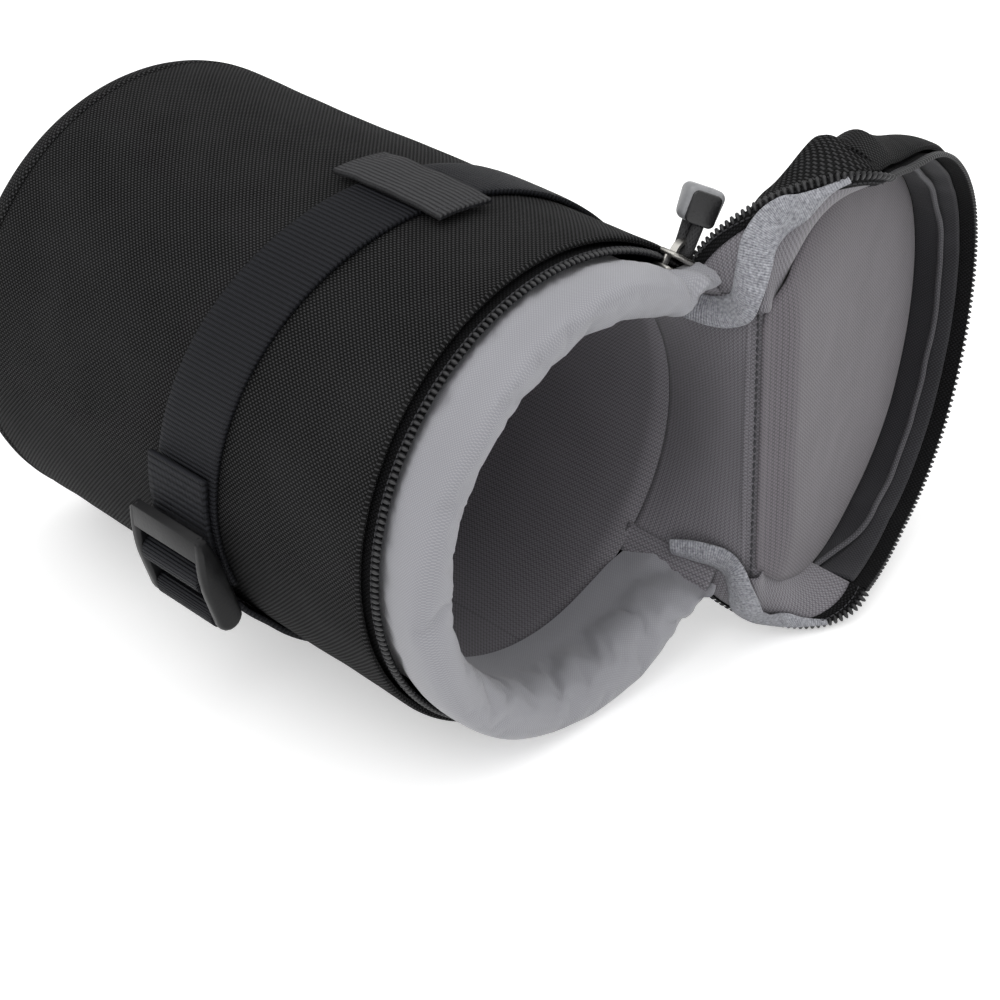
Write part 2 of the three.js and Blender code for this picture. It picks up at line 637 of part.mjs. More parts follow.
// Strap and keeper: the webbing is stitched to the shell low on both sides, clear of the underside.
function addStrap() {
  const half = STRAP_WIDTH / 2;
  const farEnd = STRAP_UNDER_ANGLE - Math.PI / 2;
  const buckleEnd = BUCKLE_ANGLE + STRAP_PAST_BUCKLE;
  const webbing = band(-half, half, strapInner, strapOuter);
  piece(body, 'strap_main', sweep(() => webbing, farEnd, buckleEnd, ARC_STEPS, onStrap), webbingBlack);

  const arch = half + 2 * CLEARANCE;
  const foot = arch + KEEPER_THICKNESS;
  const end = KEEPER_LENGTH / 2;
  const top = strapOuter + CLEARANCE + KEEPER_THICKNESS;
  const low = strapInner + KEEPER_THICKNESS;
  const keeper = [
    [-end, strapInner], [-foot + CLEARANCE, strapInner], [-arch, strapOuter + CLEARANCE],
    [arch, strapOuter + CLEARANCE], [foot - CLEARANCE, strapInner], [end, strapInner],
    [end, low], [foot + CLEARANCE, low], [arch, top], [-arch, top], [-foot - CLEARANCE, low], [-end, low],
  ];
  const spread = KEEPER_WIDTH / 2 / strapOuter;
  piece(body, 'keeper_tab',
    sweep(() => keeper, KEEPER_ANGLE - spread, KEEPER_ANGLE + spread, 5, onStrap), webbingBlack);
}

// Ladder-lock buckle: two rails, a flat lip, a bar for the strap's fold and a bar in the anchor's loop.
function addBuckle() {
  const frame = new THREE.Group();
  frame.position.x = strapPlace(BUCKLE_ANGLE);
  frame.rotation.x = BUCKLE_ANGLE;
  body.add(frame);
  const half = buckleHalf;
  const barY = buckleSeat + BUCKLE_BAR_HEIGHT;
  const upperBar = BUCKLE_LOWER_BAR - BUCKLE_BAR_SPACING;
  const lipLow = buckleSeat + BUCKLE_LIP_HEIGHT;
  const lipTop = lipLow + BUCKLE_LIP_THICKNESS;
  const railTop = barY + BUCKLE_RAIL_RADIUS;
  const railLow = barY - BUCKLE_RAIL_RADIUS;

  const rail = new THREE.Shape();
  rail.moveTo(lipLow, -BUCKLE_LIP_REACH);
  rail.quadraticCurveTo(railLow, -BUCKLE_LIP_LENGTH, railLow, upperBar);
  rail.lineTo(railLow, BUCKLE_LOWER_BAR);
  rail.absarc(barY, BUCKLE_LOWER_BAR, BUCKLE_RAIL_RADIUS, Math.PI, 0, true);
  rail.quadraticCurveTo(railTop, upperBar - BUCKLE_LIP_LENGTH / 2, lipTop, -BUCKLE_LIP_REACH);
  const lip = new THREE.Shape();
  lip.moveTo(lipLow, -BUCKLE_LIP_REACH);
  lip.lineTo(lipLow, BUCKLE_LIP_LENGTH - BUCKLE_LIP_REACH);
  lip.lineTo(lipTop, BUCKLE_LIP_LENGTH - BUCKLE_LIP_REACH);
  lip.lineTo(lipTop, -BUCKLE_LIP_REACH);
  const bar = (place) => {
    const shape = new THREE.Shape();
    shape.absarc(barY, place, BUCKLE_BAR_RADIUS, 0, fullTurn, false);
    return extrudeAlongX(shape, CLEARANCE - half, half - CLEARANCE, 6);
  };
  piece(frame, 'buckle_frame', joined(
    extrudeAlongX(rail, -half, BUCKLE_RAIL - half, 6),
    extrudeAlongX(rail, half - BUCKLE_RAIL, half, 6),
    extrudeAlongX(lip, CLEARANCE - half, half - CLEARANCE),
    bar(upperBar),
    bar(BUCKLE_LOWER_BAR),
  ), mouldedBlack);

  const wrap = (place) => {
    const ring = new THREE.Shape();
    const inner = BUCKLE_BAR_RADIUS + CLEARANCE;
    ring.absarc(barY, place, inner + STRAP_THICKNESS, 0, fullTurn, false);
    const hole = new THREE.Path();
    hole.absarc(barY, place, inner, 0, fullTurn, true);
    ring.holes.push(hole);
    return extrudeAlongX(ring, -STRAP_WIDTH / 2, STRAP_WIDTH / 2, 8);
  };
  const width = STRAP_WIDTH / 2;
  const tail = band(-width, width, buckleSeat, buckleSeat + STRAP_THICKNESS);
  const tailEnd = -STRAP_TAIL / buckleSeat;
  piece(frame, 'strap_fold', joined(wrap(upperBar), sweep(() => tail, tailEnd, FOLD_LAP, 6)), webbingBlack);

  const loopAngle = Math.atan2(BUCKLE_LOWER_BAR, barY);
  const loopLow = Math.hypot(BUCKLE_LOWER_BAR, barY) - BUCKLE_BAR_RADIUS - CLEARANCE - STRAP_THICKNESS / 2;
  const anchorEnd = 1.5 * Math.PI - STRAP_UNDER_ANGLE - BUCKLE_ANGLE;
  const anchor = (angle) => {
    const share = THREE.MathUtils.clamp((angle - loopAngle) / ANCHOR_THINNING, 0, 1);
    return band(-width, width, strapInner, THREE.MathUtils.lerp(loopLow, strapOuter, share));
  };
  const anchorStart = loopAngle - ANCHOR_LAP;
  piece(frame, 'strap_anchor',
    joined(wrap(BUCKLE_LOWER_BAR), sweep(anchor, anchorStart, anchorEnd, 14)), webbingBlack);
}

addBody();
addCollar();
addZipSide(mouth, 'body', -1, zipStart, fullTurn - zipStart);
addHingePanel();
addLid();
addGusset('upper', 1);
addGusset('lower', -1);
addSlider();
addStrap();
addBuckle();

export default pouch;
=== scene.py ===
"""A padded cylindrical pouch that lies on its side with its zipped lid open.

Pieces are made in millimetres about the mouth and placed, in metres, in the part's frame.
"""

import json
import logging
import math
from abc import ABC, abstractmethod
from collections.abc import Callable, Sequence
from dataclasses import dataclass
from enum import Enum
from functools import partial

import bmesh
import bpy
from mathutils import Matrix, Vector, noise


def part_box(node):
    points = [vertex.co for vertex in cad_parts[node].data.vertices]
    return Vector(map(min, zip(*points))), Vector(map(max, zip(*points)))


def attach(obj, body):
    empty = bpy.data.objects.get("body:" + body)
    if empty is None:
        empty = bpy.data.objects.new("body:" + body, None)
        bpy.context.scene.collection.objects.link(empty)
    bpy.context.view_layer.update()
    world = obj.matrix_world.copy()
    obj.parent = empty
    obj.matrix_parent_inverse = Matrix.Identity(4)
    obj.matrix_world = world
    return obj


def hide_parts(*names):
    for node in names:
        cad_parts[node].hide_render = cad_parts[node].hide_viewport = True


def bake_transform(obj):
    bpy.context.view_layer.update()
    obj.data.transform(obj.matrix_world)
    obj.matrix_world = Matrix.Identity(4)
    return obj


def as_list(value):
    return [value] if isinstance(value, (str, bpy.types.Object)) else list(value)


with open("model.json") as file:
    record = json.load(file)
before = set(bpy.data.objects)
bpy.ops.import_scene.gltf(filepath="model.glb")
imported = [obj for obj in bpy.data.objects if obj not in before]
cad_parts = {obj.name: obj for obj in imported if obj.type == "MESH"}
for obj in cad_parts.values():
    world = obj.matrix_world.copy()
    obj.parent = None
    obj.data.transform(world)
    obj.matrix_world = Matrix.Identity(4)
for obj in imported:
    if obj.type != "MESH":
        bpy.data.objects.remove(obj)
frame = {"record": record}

MM = 0.001
UV_NAME = "cloth"
SETTLING_SCALE = 0.01
SETTLING_FRAMES = 24
SMALL_BEAD = (6, 4)
ZIP_PITCH = 1.5
COIL_SIZE = (1.3, 0.74, 0.56)
SEWING_SIZE = (0.2, 0.22, 0.66)
log = logging.getLogger("pouch")

Colour = tuple[float, float, float, float]
Surface = Callable[[float, float], Vector]
Move = Callable[[Vector], Vector]
Path = Sequence[Vector]
Mesh = bmesh.types.BMesh
Piece = bpy.types.Object
Material = bpy.types.Material
Spot = tuple[float, float]
Triple = tuple[float, float, float]
Outline = Sequence[Spot]
Socket = bpy.types.NodeSocket
Value = float | Socket
Paint = Colour | Value


class Body(Enum):
    """The rigid bodies that pieces move with."""

    POUCH = "body"
    LID = "lid"
    SLIDER = "slider"
    PULL = "pull"
    BUCKLE = "buckle"


class Hold(Enum):
    """How a sheet of cloth is held."""

    STRETCHED = "stretched"
    GATHERED = "gathered"
    LAID = "laid"


class Side(Enum):
    """The two corners of the lid, with the way that each faces."""

    UPPER = 1.0
    LOWER = -1.0


class Step(Enum):
    """The arithmetic steps of a shader."""

    ABSOLUTE = "ABSOLUTE"
    ADD = "ADD"
    FLOOR = "FLOOR"
    FLOORED_MODULO = "FLOORED_MODULO"
    MAXIMUM = "MAXIMUM"
    MULTIPLY = "MULTIPLY"
    MULTIPLY_ADD = "MULTIPLY_ADD"
    POWER = "POWER"
    SINE = "SINE"
    SUBTRACT = "SUBTRACT"


class Slot(Enum):
    """The record's finish slots, one handed to each piece."""

    WOVEN = "woven_black"
    LINING = "lining_grey"
    COLLAR = "collar_grey"
    TAPE = "zip_tape"
    TEETH = "zip_teeth"
    WEBBING = "webbing"
    CORD = "pull_cord"
    METAL = "slider_metal"
    GRIP = "grip_plastic"
    BUCKLE = "buckle_plastic"


def srgb(red: int, green: int, blue: int) -> Colour:
    """Turn a colour as seen on a screen into the linear colour that a shader takes.

    Args:
        red, green, blue: the channels, from 0 to 255.

    Returns:
        The linear colour with full alpha.
    """

    def linear(channel: int) -> float:
        """Undo the screen curve of one channel."""
        share = channel / 255
        return share / 12.92 if share <= 0.04045 else ((share + 0.055) / 1.055) ** 2.4

    return linear(red), linear(green), linear(blue), 1.0


class Shader:
    """A material's node tree, with short ways to add to it."""

    def __init__(self, name: str) -> None:
        """Start a material with a Principled surface.

        Args:
            name: the material's name.
        """
        self.material = bpy.data.materials.new(name)
        self.material.use_nodes = True
        self.tree = self.material.node_tree
        self.surface = self.tree.nodes["Principled BSDF"]

    def feed(self, socket: Socket, value: Paint) -> None:
        """Give a socket a constant or link it to another node's output.

        Args:
            socket: the input.
            value: a constant, or the output that is linked to it.
        """
        if isinstance(value, Socket):
            self.tree.links.new(value, socket)
        else:
            socket.default_value = value

    def math(self, operation: Step, first: Value, second: Value = 0.0, third: Value = 0.0) -> Socket:
        """Add one arithmetic step.

        Args:
            operation: which step.
            first, second, third: its inputs; a step uses as many as it needs.

        Returns:
            The result.
        """
        step = self.tree.nodes.new("ShaderNodeMath")
        step.operation = operation.value
        for socket, value in zip(step.inputs, (first, second, third)):
            self.feed(socket, value)
        return step.outputs[0]

    def cloth_place(self) -> tuple[Socket, Socket]:
        """Return the place across and along the cloth, in millimetres.

        Returns:
            The two places.
        """
        source = self.tree.nodes.new("ShaderNodeUVMap")
        source.uv_map = UV_NAME
        split = self.tree.nodes.new("ShaderNodeSeparateXYZ")
        self.tree.links.new(source.outputs[0], split.inputs[0])
        return split.outputs[0], split.outputs[1]

    def noise(self, scale: float, detail: float = 2.0, stretch: Sequence[float] = (1, 1, 1)) -> Socket:
        """Return a smooth random value from 0 to 1 over the object.

        Args:
            scale: features per metre.
            detail: how many finer octaves are added.
            stretch: how much denser the features are along each axis.

        Returns:
            The random value.
        """
        place = self.tree.nodes.new("ShaderNodeTexCoord")
        mapping = self.tree.nodes.new("ShaderNodeMapping")
        mapping.inputs["Scale"].default_value = stretch
        texture = self.tree.nodes.new("ShaderNodeTexNoise")
        texture.inputs["Scale"].default_value = scale
        texture.inputs["Detail"].default_value = detail
        self.tree.links.new(place.outputs["Object"], mapping.inputs[0])
        self.tree.links.new(mapping.outputs[0], texture.inputs["Vector"])
        return texture.outputs[0]

    def mixed(self, share: Value, first: Paint, second: Paint) -> Socket:
        """Return a colour between two others.

        Args:
            share: from 0 for the first to 1 for the second.
            first, second: the colours.

        Returns:
            The colour.
        """
        mix = self.tree.nodes.new("ShaderNodeMix")
        mix.data_type = "RGBA"
        self.feed(mix.inputs[0], share)
        self.feed(mix.inputs[6], first)
        self.feed(mix.inputs[7], second)
        return mix.outputs[2]

    def ridge(self, place: Value, pitch: float) -> Socket:
        """Return rounded ridges from 0 to 1 that repeat at a pitch in millimetres."""
        turns = self.math(Step.MULTIPLY, place, math.pi / pitch)
        return self.math(Step.ABSOLUTE, self.math(Step.SINE, turns))

    def close(self, colour: Paint, roughness: Value, height: Value, depth: float) -> Material:
        """Join colour, roughness and relief to the surface.

        Args:
            colour: the base colour.
            roughness: from 0, polished, to 1, matt.
            height: the relief, from 0 to 1.
            depth: the relief's depth, in millimetres.

        Returns:
            The finished material.
        """
        bump = self.tree.nodes.new("ShaderNodeBump")
        bump.inputs["Distance"].default_value = depth * MM
        self.feed(bump.inputs["Height"], height)
        self.tree.links.new(bump.outputs[0], self.surface.inputs["Normal"])
        self.feed(self.surface.inputs["Base Color"], colour)
        self.feed(self.surface.inputs["Roughness"], roughness)
        return self.material


@dataclass(frozen=True)
class Finish(ABC):
    """What every finish has: its name, its dark tone and its light tone."""

    name: str
    shade: Colour
    light: Colour

    @abstractmethod
    def build(self) -> Material:
        """Return the material."""


@dataclass(frozen=True)
class WovenCloth(Finish):
    """Plain weave of two crossing sets of yarn, with fibres that catch the light."""

    pitch: float
    depth: float
    roughness: float = 0.85
    sheen: float = 0.1
    fleck: float = 0.3
    rib: float = 0.0
    shine: float = 0.3
    rib_pitch: float = 1.3

    def build(self) -> Material:
        """Return the cloth's material.

        Returns:
            The material, mapped to the cloth.
        """
        shader = Shader(self.name)
        across, along = shader.cloth_place()
        warp = shader.math(Step.MULTIPLY, across, 1 / self.pitch)
        weft = shader.math(Step.MULTIPLY, along, 1 / self.pitch)
        cells = shader.math(Step.ADD, shader.math(Step.FLOOR, warp), shader.math(Step.FLOOR, weft))
        over = shader.math(Step.FLOORED_MODULO, cells, 2.0)
        under = shader.math(Step.SUBTRACT, 1.0, over)
        warp_yarn = shader.math(Step.MULTIPLY, shader.ridge(across, self.pitch), over)
        weft_yarn = shader.math(Step.MULTIPLY, shader.ridge(along, self.pitch), under)
        yarn = shader.math(Step.ADD, warp_yarn, weft_yarn)
        fibre = shader.noise(2600.0, 3.0)
        cloud = shader.noise(60.0, 2.0)
        tone = shader.math(Step.MULTIPLY_ADD, warp_yarn, 0.95, shader.math(Step.MULTIPLY, weft_yarn, 0.15))
        tone = shader.math(Step.MULTIPLY_ADD, shader.math(Step.SUBTRACT, fibre, 0.5), self.fleck, tone)
        tone = shader.math(Step.MULTIPLY_ADD, shader.math(Step.SUBTRACT, cloud, 0.5), 0.3, tone)
        tone = shader.math(Step.MULTIPLY_ADD, shader.ridge(across, self.rib_pitch), self.rib, tone)
        shader.surface.inputs["Sheen Weight"].default_value = self.sheen
        shader.surface.inputs["Sheen Roughness"].default_value = 0.5
        shader.surface.inputs["Specular IOR Level"].default_value = self.shine
        rough = shader.math(Step.MULTIPLY_ADD, fibre, 0.2, self.roughness - 0.1)
        relief = shader.math(Step.MULTIPLY_ADD, fibre, 0.35, yarn)
        return shader.close(shader.mixed(tone, self.shade, self.light), rough, relief, self.depth)


@dataclass(frozen=True)
class RibbedWebbing(Finish):
    """Narrow webbing with ribs across its width and fine yarn along them."""

    rib_pitch: float = 1.15
    yarn_pitch: float = 0.5
    depth: float = 0.5
    roughness: float = 0.6

    def build(self) -> Material:
        """Return the webbing's material.

        Returns:
            The material, mapped to the cloth.
        """
        shader = Shader(self.name)
        across, along = shader.cloth_place()
        rib = shader.math(Step.POWER, shader.ridge(along, self.rib_pitch), 0.7)
        slant = shader.math(Step.MULTIPLY_ADD, along, 0.35, across)
        yarn = shader.ridge(slant, self.yarn_pitch)
        fibre = shader.noise(1800.0, 3.0)
        relief = shader.math(Step.MULTIPLY_ADD, yarn, 0.25, rib)
        tone = shader.math(Step.MULTIPLY, rib, shader.math(Step.MULTIPLY_ADD, yarn, 0.35, 0.3))
        tone = shader.math(Step.MULTIPLY_ADD, fibre, 0.4, tone)
        shader.surface.inputs["Specular IOR Level"].default_value = 0.15
        return shader.close(shader.mixed(tone, self.shade, self.light), self.roughness, relief, self.depth)


@dataclass(frozen=True)
class Knit(Finish):
    """Stretchy knitted binding: fine crosswise rows of loops, heathered from pale and grey fibres."""

    pitch: float = 0.5

    def build(self) -> Material:
        """Return the binding's material.

        Returns:
            The material, mapped to the cloth.
        """
        shader = Shader(self.name)
        across, along = shader.cloth_place()
        row = shader.ridge(along, self.pitch)
        bend = shader.math(Step.MULTIPLY_ADD, row, 0.4, across)
        loop = shader.ridge(bend, self.pitch * 1.3)
        relief = shader.math(Step.MULTIPLY, row, shader.math(Step.MULTIPLY_ADD, loop, 0.5, 0.5))
        fibre = shader.noise(1500.0, 3.0)
        heather = shader.math(Step.MULTIPLY_ADD, shader.math(Step.SUBTRACT, fibre, 0.5), 1.8, 0.3)
        tone = shader.math(Step.MULTIPLY_ADD, relief, 0.35, heather)
        shader.surface.inputs["Sheen Weight"].default_value = 0.2
        return shader.close(shader.mixed(tone, self.shade, self.light), 0.8, relief, 0.18)


@dataclass(frozen=True)
class Moulded(Finish):
    """Moulded nylon or acetal with a faint grain and worn, lighter patches."""

    roughness: float
    shine: float = 0.5
    grain: float = 1400.0
    depth: float = 0.04

    def build(self) -> Material:
        """Return the plastic's material.

        Returns:
            The material, mapped to the object.
        """
        shader = Shader(self.name)
        grain = shader.noise(self.grain, 3.0)
        wear = shader.noise(180.0, 3.0)
        tone = shader.math(Step.MULTIPLY_ADD, grain, 0.3, shader.math(Step.MULTIPLY, wear, 0.6))
        rough = shader.math(Step.MULTIPLY_ADD, wear, 0.25, self.roughness - 0.12)
        shader.surface.inputs["Specular IOR Level"].default_value = self.shine
        return shader.close(shader.mixed(tone, self.shade, self.light), rough, grain, self.depth)


@dataclass(frozen=True)
class Plated(Finish):
    """Nickel plating with fine tumbling marks."""

    roughness: float = 0.28

    def build(self) -> Material:
        """Return the plating's material.

        Returns:
            The material, mapped to the object.
        """
        shader = Shader(self.name)
        marks = shader.noise(3000.0, 3.0, (1, 4, 1))
        stain = shader.noise(250.0, 2.0)
        shader.surface.inputs["Metallic"].default_value = 1.0
        rough = shader.math(Step.MULTIPLY_ADD, stain, 0.2, self.roughness - 0.1)
        return shader.close(shader.mixed(stain, self.shade, self.light), rough, marks, 0.02)


@dataclass(frozen=True)
class TwistedCord(Finish):
    """Braided cord whose strands run slantwise round it."""

    pitch: float = 0.9

    def build(self) -> Material:
        """Return the cord's material.

        Returns:
            The material, mapped to the cord.
        """
        shader = Shader(self.name)
        across, along = shader.cloth_place()
        left = shader.ridge(shader.math(Step.ADD, across, along), self.pitch)
        right = shader.ridge(shader.math(Step.SUBTRACT, across, along), self.pitch)
        relief = shader.math(Step.MAXIMUM, left, right)
        fibre = shader.noise(2500.0, 2.0)
        tone = shader.math(Step.MULTIPLY_ADD, relief, 0.5, shader.math(Step.MULTIPLY, fibre, 0.5))
        return shader.close(shader.mixed(tone, self.shade, self.light), 0.7, relief, 0.2)


class Finishes:
    """Every material of the pouch, built once."""

    def __init__(self) -> None:
        """Build the materials."""
        self.woven = WovenCloth(
            "woven_polyester", srgb(2, 2, 2), srgb(66, 66, 67), 0.62, 0.25, 0.8, 0.0, 0.35, 0.0, 0.1
        ).build()
        self.collar = WovenCloth(
            "collar_nylon", srgb(144, 144, 149), srgb(168, 168, 174), 0.34, 0.02, 0.5, 0.3, 0.2
        ).build()
        self.lining = WovenCloth(
            "lining_nylon", srgb(83, 81, 85), srgb(142, 139, 145), 0.5, 0.04, 0.65, 0.2, 0.2, 0.35
        ).build()
        # Painted shade: the lid's lining is the same nylon as the other lining, in a darker copy.
        self.lid_lining = WovenCloth(
            "lid_lining_painted_shade_nylon", srgb(69, 66, 70), srgb(118, 113, 119), 0.5, 0.04, 0.65, 0.2, 0.2, 0.35
        ).build()
        self.rim_lining = WovenCloth(
            "rim_lining_nylon", srgb(28, 28, 31), srgb(64, 63, 68), 0.5, 0.04, 0.7, 0.12, 0.25
        ).build()
        self.hem = WovenCloth(
            "hem_nylon", srgb(56, 55, 59), srgb(104, 103, 108), 0.5, 0.05, 0.7, 0.2
        ).build()
        self.tape = WovenCloth(
            "zip_tape_cloth", srgb(3, 3, 3), srgb(34, 34, 36), 0.55, 0.15, 0.75, 0.0, 0.3, 0.0, 0.12
        ).build()
        self.knit = Knit("knit_binding", srgb(108, 109, 116), srgb(196, 197, 204)).build()
        self.webbing = RibbedWebbing("ribbed_webbing", srgb(3, 3, 4), srgb(44, 45, 50)).build()
        # Painted light: the keeper tab takes a lighter copy of the strap's webbing.
        self.keeper = RibbedWebbing("keeper_painted_light_webbing", srgb(10, 10, 11), srgb(86, 86, 88)).build()
        self.cord = TwistedCord("braided_cord", srgb(12, 12, 13), srgb(58, 58, 60)).build()
        self.teeth = Moulded("coil_nylon", srgb(16, 16, 17), srgb(58, 58, 60), 0.38).build()
        self.plastic = Moulded("acetal", srgb(8, 8, 9), srgb(28, 28, 30), 0.36, 0.3).build()
        # Painted highlight: the grip's moulding is light grey to stand for the gloss on its top and edges.
        self.grip_painted_highlight = Moulded("grip_painted_highlight_nylon", srgb(110, 111, 113), srgb(176, 177, 180), 0.3).build()
        self.grip = Moulded("grip_nylon", srgb(14, 14, 15), srgb(46, 46, 48), 0.26).build()
        self.nickel = Plated("nickel", srgb(150, 148, 142), srgb(205, 203, 198)).build()
        self.thread = TwistedCord("sewing_thread", srgb(16, 16, 18), srgb(70, 70, 74), 0.35).build()


@dataclass(frozen=True)
class Layout:
    """Where the mouth and the lid's hinge are.

    Lengths are in millimetres about the mouth, whose own place is in metres.
    """

    mouth: Vector
    radius: float
    length: float
    flat: float
    roll: float
    hinge: Vector
    opening: float

    @classmethod
    def from_frame(cls) -> "Layout":
        """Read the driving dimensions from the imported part.

        Returns:
            The layout, in millimetres about the mouth.
        """
        joints = {joint["name"]: joint for joint in frame["record"]["behaviour"]["joints"]}
        low, high = (Vector(corner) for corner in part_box("body_shell"))
        base = Vector(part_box("base_panel")[0])
        mouth = Vector(joints["slider_travel"]["pos_m"])
        axis = Vector(joints["lid_hinge"]["axis"])
        roll = math.atan2(-axis.y, axis.z)
        hinge = Matrix.Rotation(-roll, 3, "X") @ (Vector(joints["lid_hinge"]["pos_m"]) - mouth)
        opening = -math.radians(joints["lid_hinge"]["range_deg"][0])
        radius = high.z - mouth.z
        length = mouth.x - base.x
        flat = radius + low.z - mouth.z
        return cls(mouth, radius / MM, length / MM, flat / MM, roll, hinge / MM, opening)

    @property
    def axis(self) -> Matrix:
        """From millimetres about the mouth's centre to the row frame."""
        return Matrix.Translation(self.mouth) @ Matrix.Scale(MM, 4)

    @property
    def rolled(self) -> Matrix:
        """The same, with the small roll that the mouth has about the axis."""
        return self.axis @ Matrix.Rotation(self.roll, 4, "X")

    @property
    def swing(self) -> Matrix:
        """From the closed lid to the open lid, in millimetres."""
        line = Matrix.Translation((self.hinge.x, self.hinge.y, 0))
        return line @ Matrix.Rotation(self.opening, 4, "Z") @ line.inverted()

    @property
    def opened(self) -> Matrix:
        """From the closed lid, in millimetres, to the open lid in the row frame."""
        return self.rolled @ self.swing


def polar(along: float, radius: float, angle: float) -> Vector:
    """Return a point at a place along the axis, a radius and an angle from +Y towards +Z."""
    return Vector((along, radius * math.cos(angle), radius * math.sin(angle)))


def from_axis(point: Vector) -> Vector:
    """Return the direction from the axis to a point."""
    return Vector((0, point.y, point.z)).normalized()


def path_length(path: Path) -> float:
    """Return the length of a path."""
    return sum((b - a).length for a, b in zip(path, path[1:]))


def ease(share: float) -> float:
    """Return a smooth step from 0 to 1."""
    share = min(max(share, 0.0), 1.0)
    return share * share * (3 - 2 * share)


def flowing(points: Path, share: float) -> Vector:
    """Return a point on a smooth curve through others, which carries on straight past its ends.

    Args:
        points: the points, in order.
        share: from 0 at the first to 1 at the last.

    Returns:
        The point on the curve.
    """
    spot = share * (len(points) - 1)
    index = min(max(int(spot), 0), len(points) - 2)
    t = spot - index
    first, second = points[index], points[index + 1]
    before = points[index - 1] if index else first * 2 - second
    after = points[index + 2] if index + 2 < len(points) else second * 2 - first
    slope_in = (second - before) / 2
    slope_out = (after - first) / 2
    if t < 0:
        return first + slope_in * t
    if t > 1:
        return second + slope_out * (t - 1)
    square, cube = t * t, t * t * t
    blend = first * (2 * cube - 3 * square + 1) + second * (3 * square - 2 * cube)
    return blend + slope_in * (cube - 2 * square + t) + slope_out * (cube - square)


def lump(point: Vector, size: float, seed: float = 0.0) -> float:
    """Return a smooth random value from -1 to 1, with lumps of a size; the seed shifts the pattern."""
    return noise.noise(point / size + Vector((seed, seed * 1.7, -seed)))


def rounded(low: Spot, high: Spot, edge: float, steps: int) -> list[Spot]:
    """Return a rectangle's outline with rounded corners.

    Args:
        low, high: its opposite corners.
        edge: the corners' radius.
        steps: segments in each corner.

    Returns:
        The outline's points, in order.
    """
    corners = [
        (high[0] - edge, high[1] - edge, 0.0),
        (low[0] + edge, high[1] - edge, 0.5),
        (low[0] + edge, low[1] + edge, 1.0),
        (high[0] - edge, low[1] + edge, 1.5),
    ]
    points = []
    for x, y, quarter in corners:
        for step in range(steps + 1):
            angle = math.pi * (quarter + 0.5 * step / steps)
            points.append((x + edge * math.cos(angle), y + edge * math.sin(angle)))
    return points


def reshape(bm: Mesh, move: Move) -> None:
    """Move every point of a mesh."""
    for vert in bm.verts:
        vert.co = move(vert.co)


def face_out(bm: Mesh) -> None:
    """Turn a mesh's faces outward."""
    bmesh.ops.recalc_face_normals(bm, faces=bm.faces[:])


def cloth_layer(bm: Mesh) -> bmesh.types.BMLayerItem:
    """Return a mesh's cloth map, made if it has none."""
    layers = bm.loops.layers.uv
    return layers.get(UV_NAME) or layers.new(UV_NAME)


def lay_cloth(bm: Mesh, radius: float) -> None:
    """Lay a cloth map over a piece that is wound round the axis: round it and along it, in millimetres.

    Args:
        bm: the piece, about the axis.
        radius: the radius at which the map keeps its true length.
    """
    layer = cloth_layer(bm)
    period = math.tau * radius

    def place(point: Vector) -> Spot:
        """Return the place round and along the cloth."""
        reach = point.x + math.hypot(point.y, point.z)
        return math.atan2(-point.y, point.z) * radius, reach

    for face in bm.faces:
        middle = place(face.calc_center_median())[0]
        for loop in face.loops:
            across, along = place(loop.vert.co)
            loop[layer].uv = across - period * round((across - middle) / period), along


def turn_cloth(bm: Mesh) -> None:
    """Turn a piece's cloth map, so that its ribs run the other way.

    Args:
        bm: the piece.
    """
    layer = cloth_layer(bm)
    for face in bm.faces:
        for loop in face.loops:
            loop[layer].uv = loop[layer].uv.yx


def spun(profile: Outline, start: float, sweep: float, steps: int, closed: bool = True) -> Mesh:
    """Turn a profile about the axis.

    Args:
        profile: places along the axis and radii, in millimetres.
        start, sweep: the first angle and the angle turned through.
        steps: segments round the turn.
        closed: whether the profile is a closed outline.

    Returns:
        A mesh with a cloth map and its normals facing out.
    """
    bm = bmesh.new()
    points = [bm.verts.new(polar(x, radius, start)) for x, radius in profile]
    pairs = list(zip(points, points[1:]))
    if closed:
        pairs.append((points[-1], points[0]))
    edges = [bm.edges.new(pair) for pair in pairs]
    full = math.isclose(abs(sweep), math.tau)
    bmesh.ops.spin(
        bm, geom=points + edges, cent=(0, 0, 0), axis=(1, 0, 0), angle=sweep, steps=steps, use_merge=full
    )
    bmesh.ops.remove_doubles(bm, verts=bm.verts, dist=1e-4)
    if closed and not full:
        bmesh.ops.holes_fill(bm, edges=[edge for edge in bm.edges if edge.is_boundary], sides=0)
    face_out(bm)
    lay_cloth(bm, sum(radius for _, radius in profile) / len(profile))
    return bm


def draped(columns: int, rows: int, surface: Surface, size: Spot, merge: bool = False) -> Mesh:
    """Lay a grid of cloth over a surface.

    Args:
        columns, rows: faces across and along.
        surface: the point at a share across and a share along.
        size: the cloth's width and length, in millimetres.
        merge: whether edges that meet are joined.

    Returns:
        A mesh with a cloth map.
    """
    bm = bmesh.new()
    bmesh.ops.create_grid(bm, x_segments=columns, y_segments=rows, size=0.5)
    layer = cloth_layer(bm)
    for face in bm.faces:
        for loop in face.loops:
            loop[layer].uv = loop.vert.co.x * size[0], loop.vert.co.y * size[1]
    for vert in bm.verts:
        vert.co = surface(vert.co.x + 0.5, vert.co.y + 0.5)
    if merge:
        bmesh.ops.remove_doubles(bm, verts=bm.verts, dist=1e-3)
    face_out(bm)
    return bm


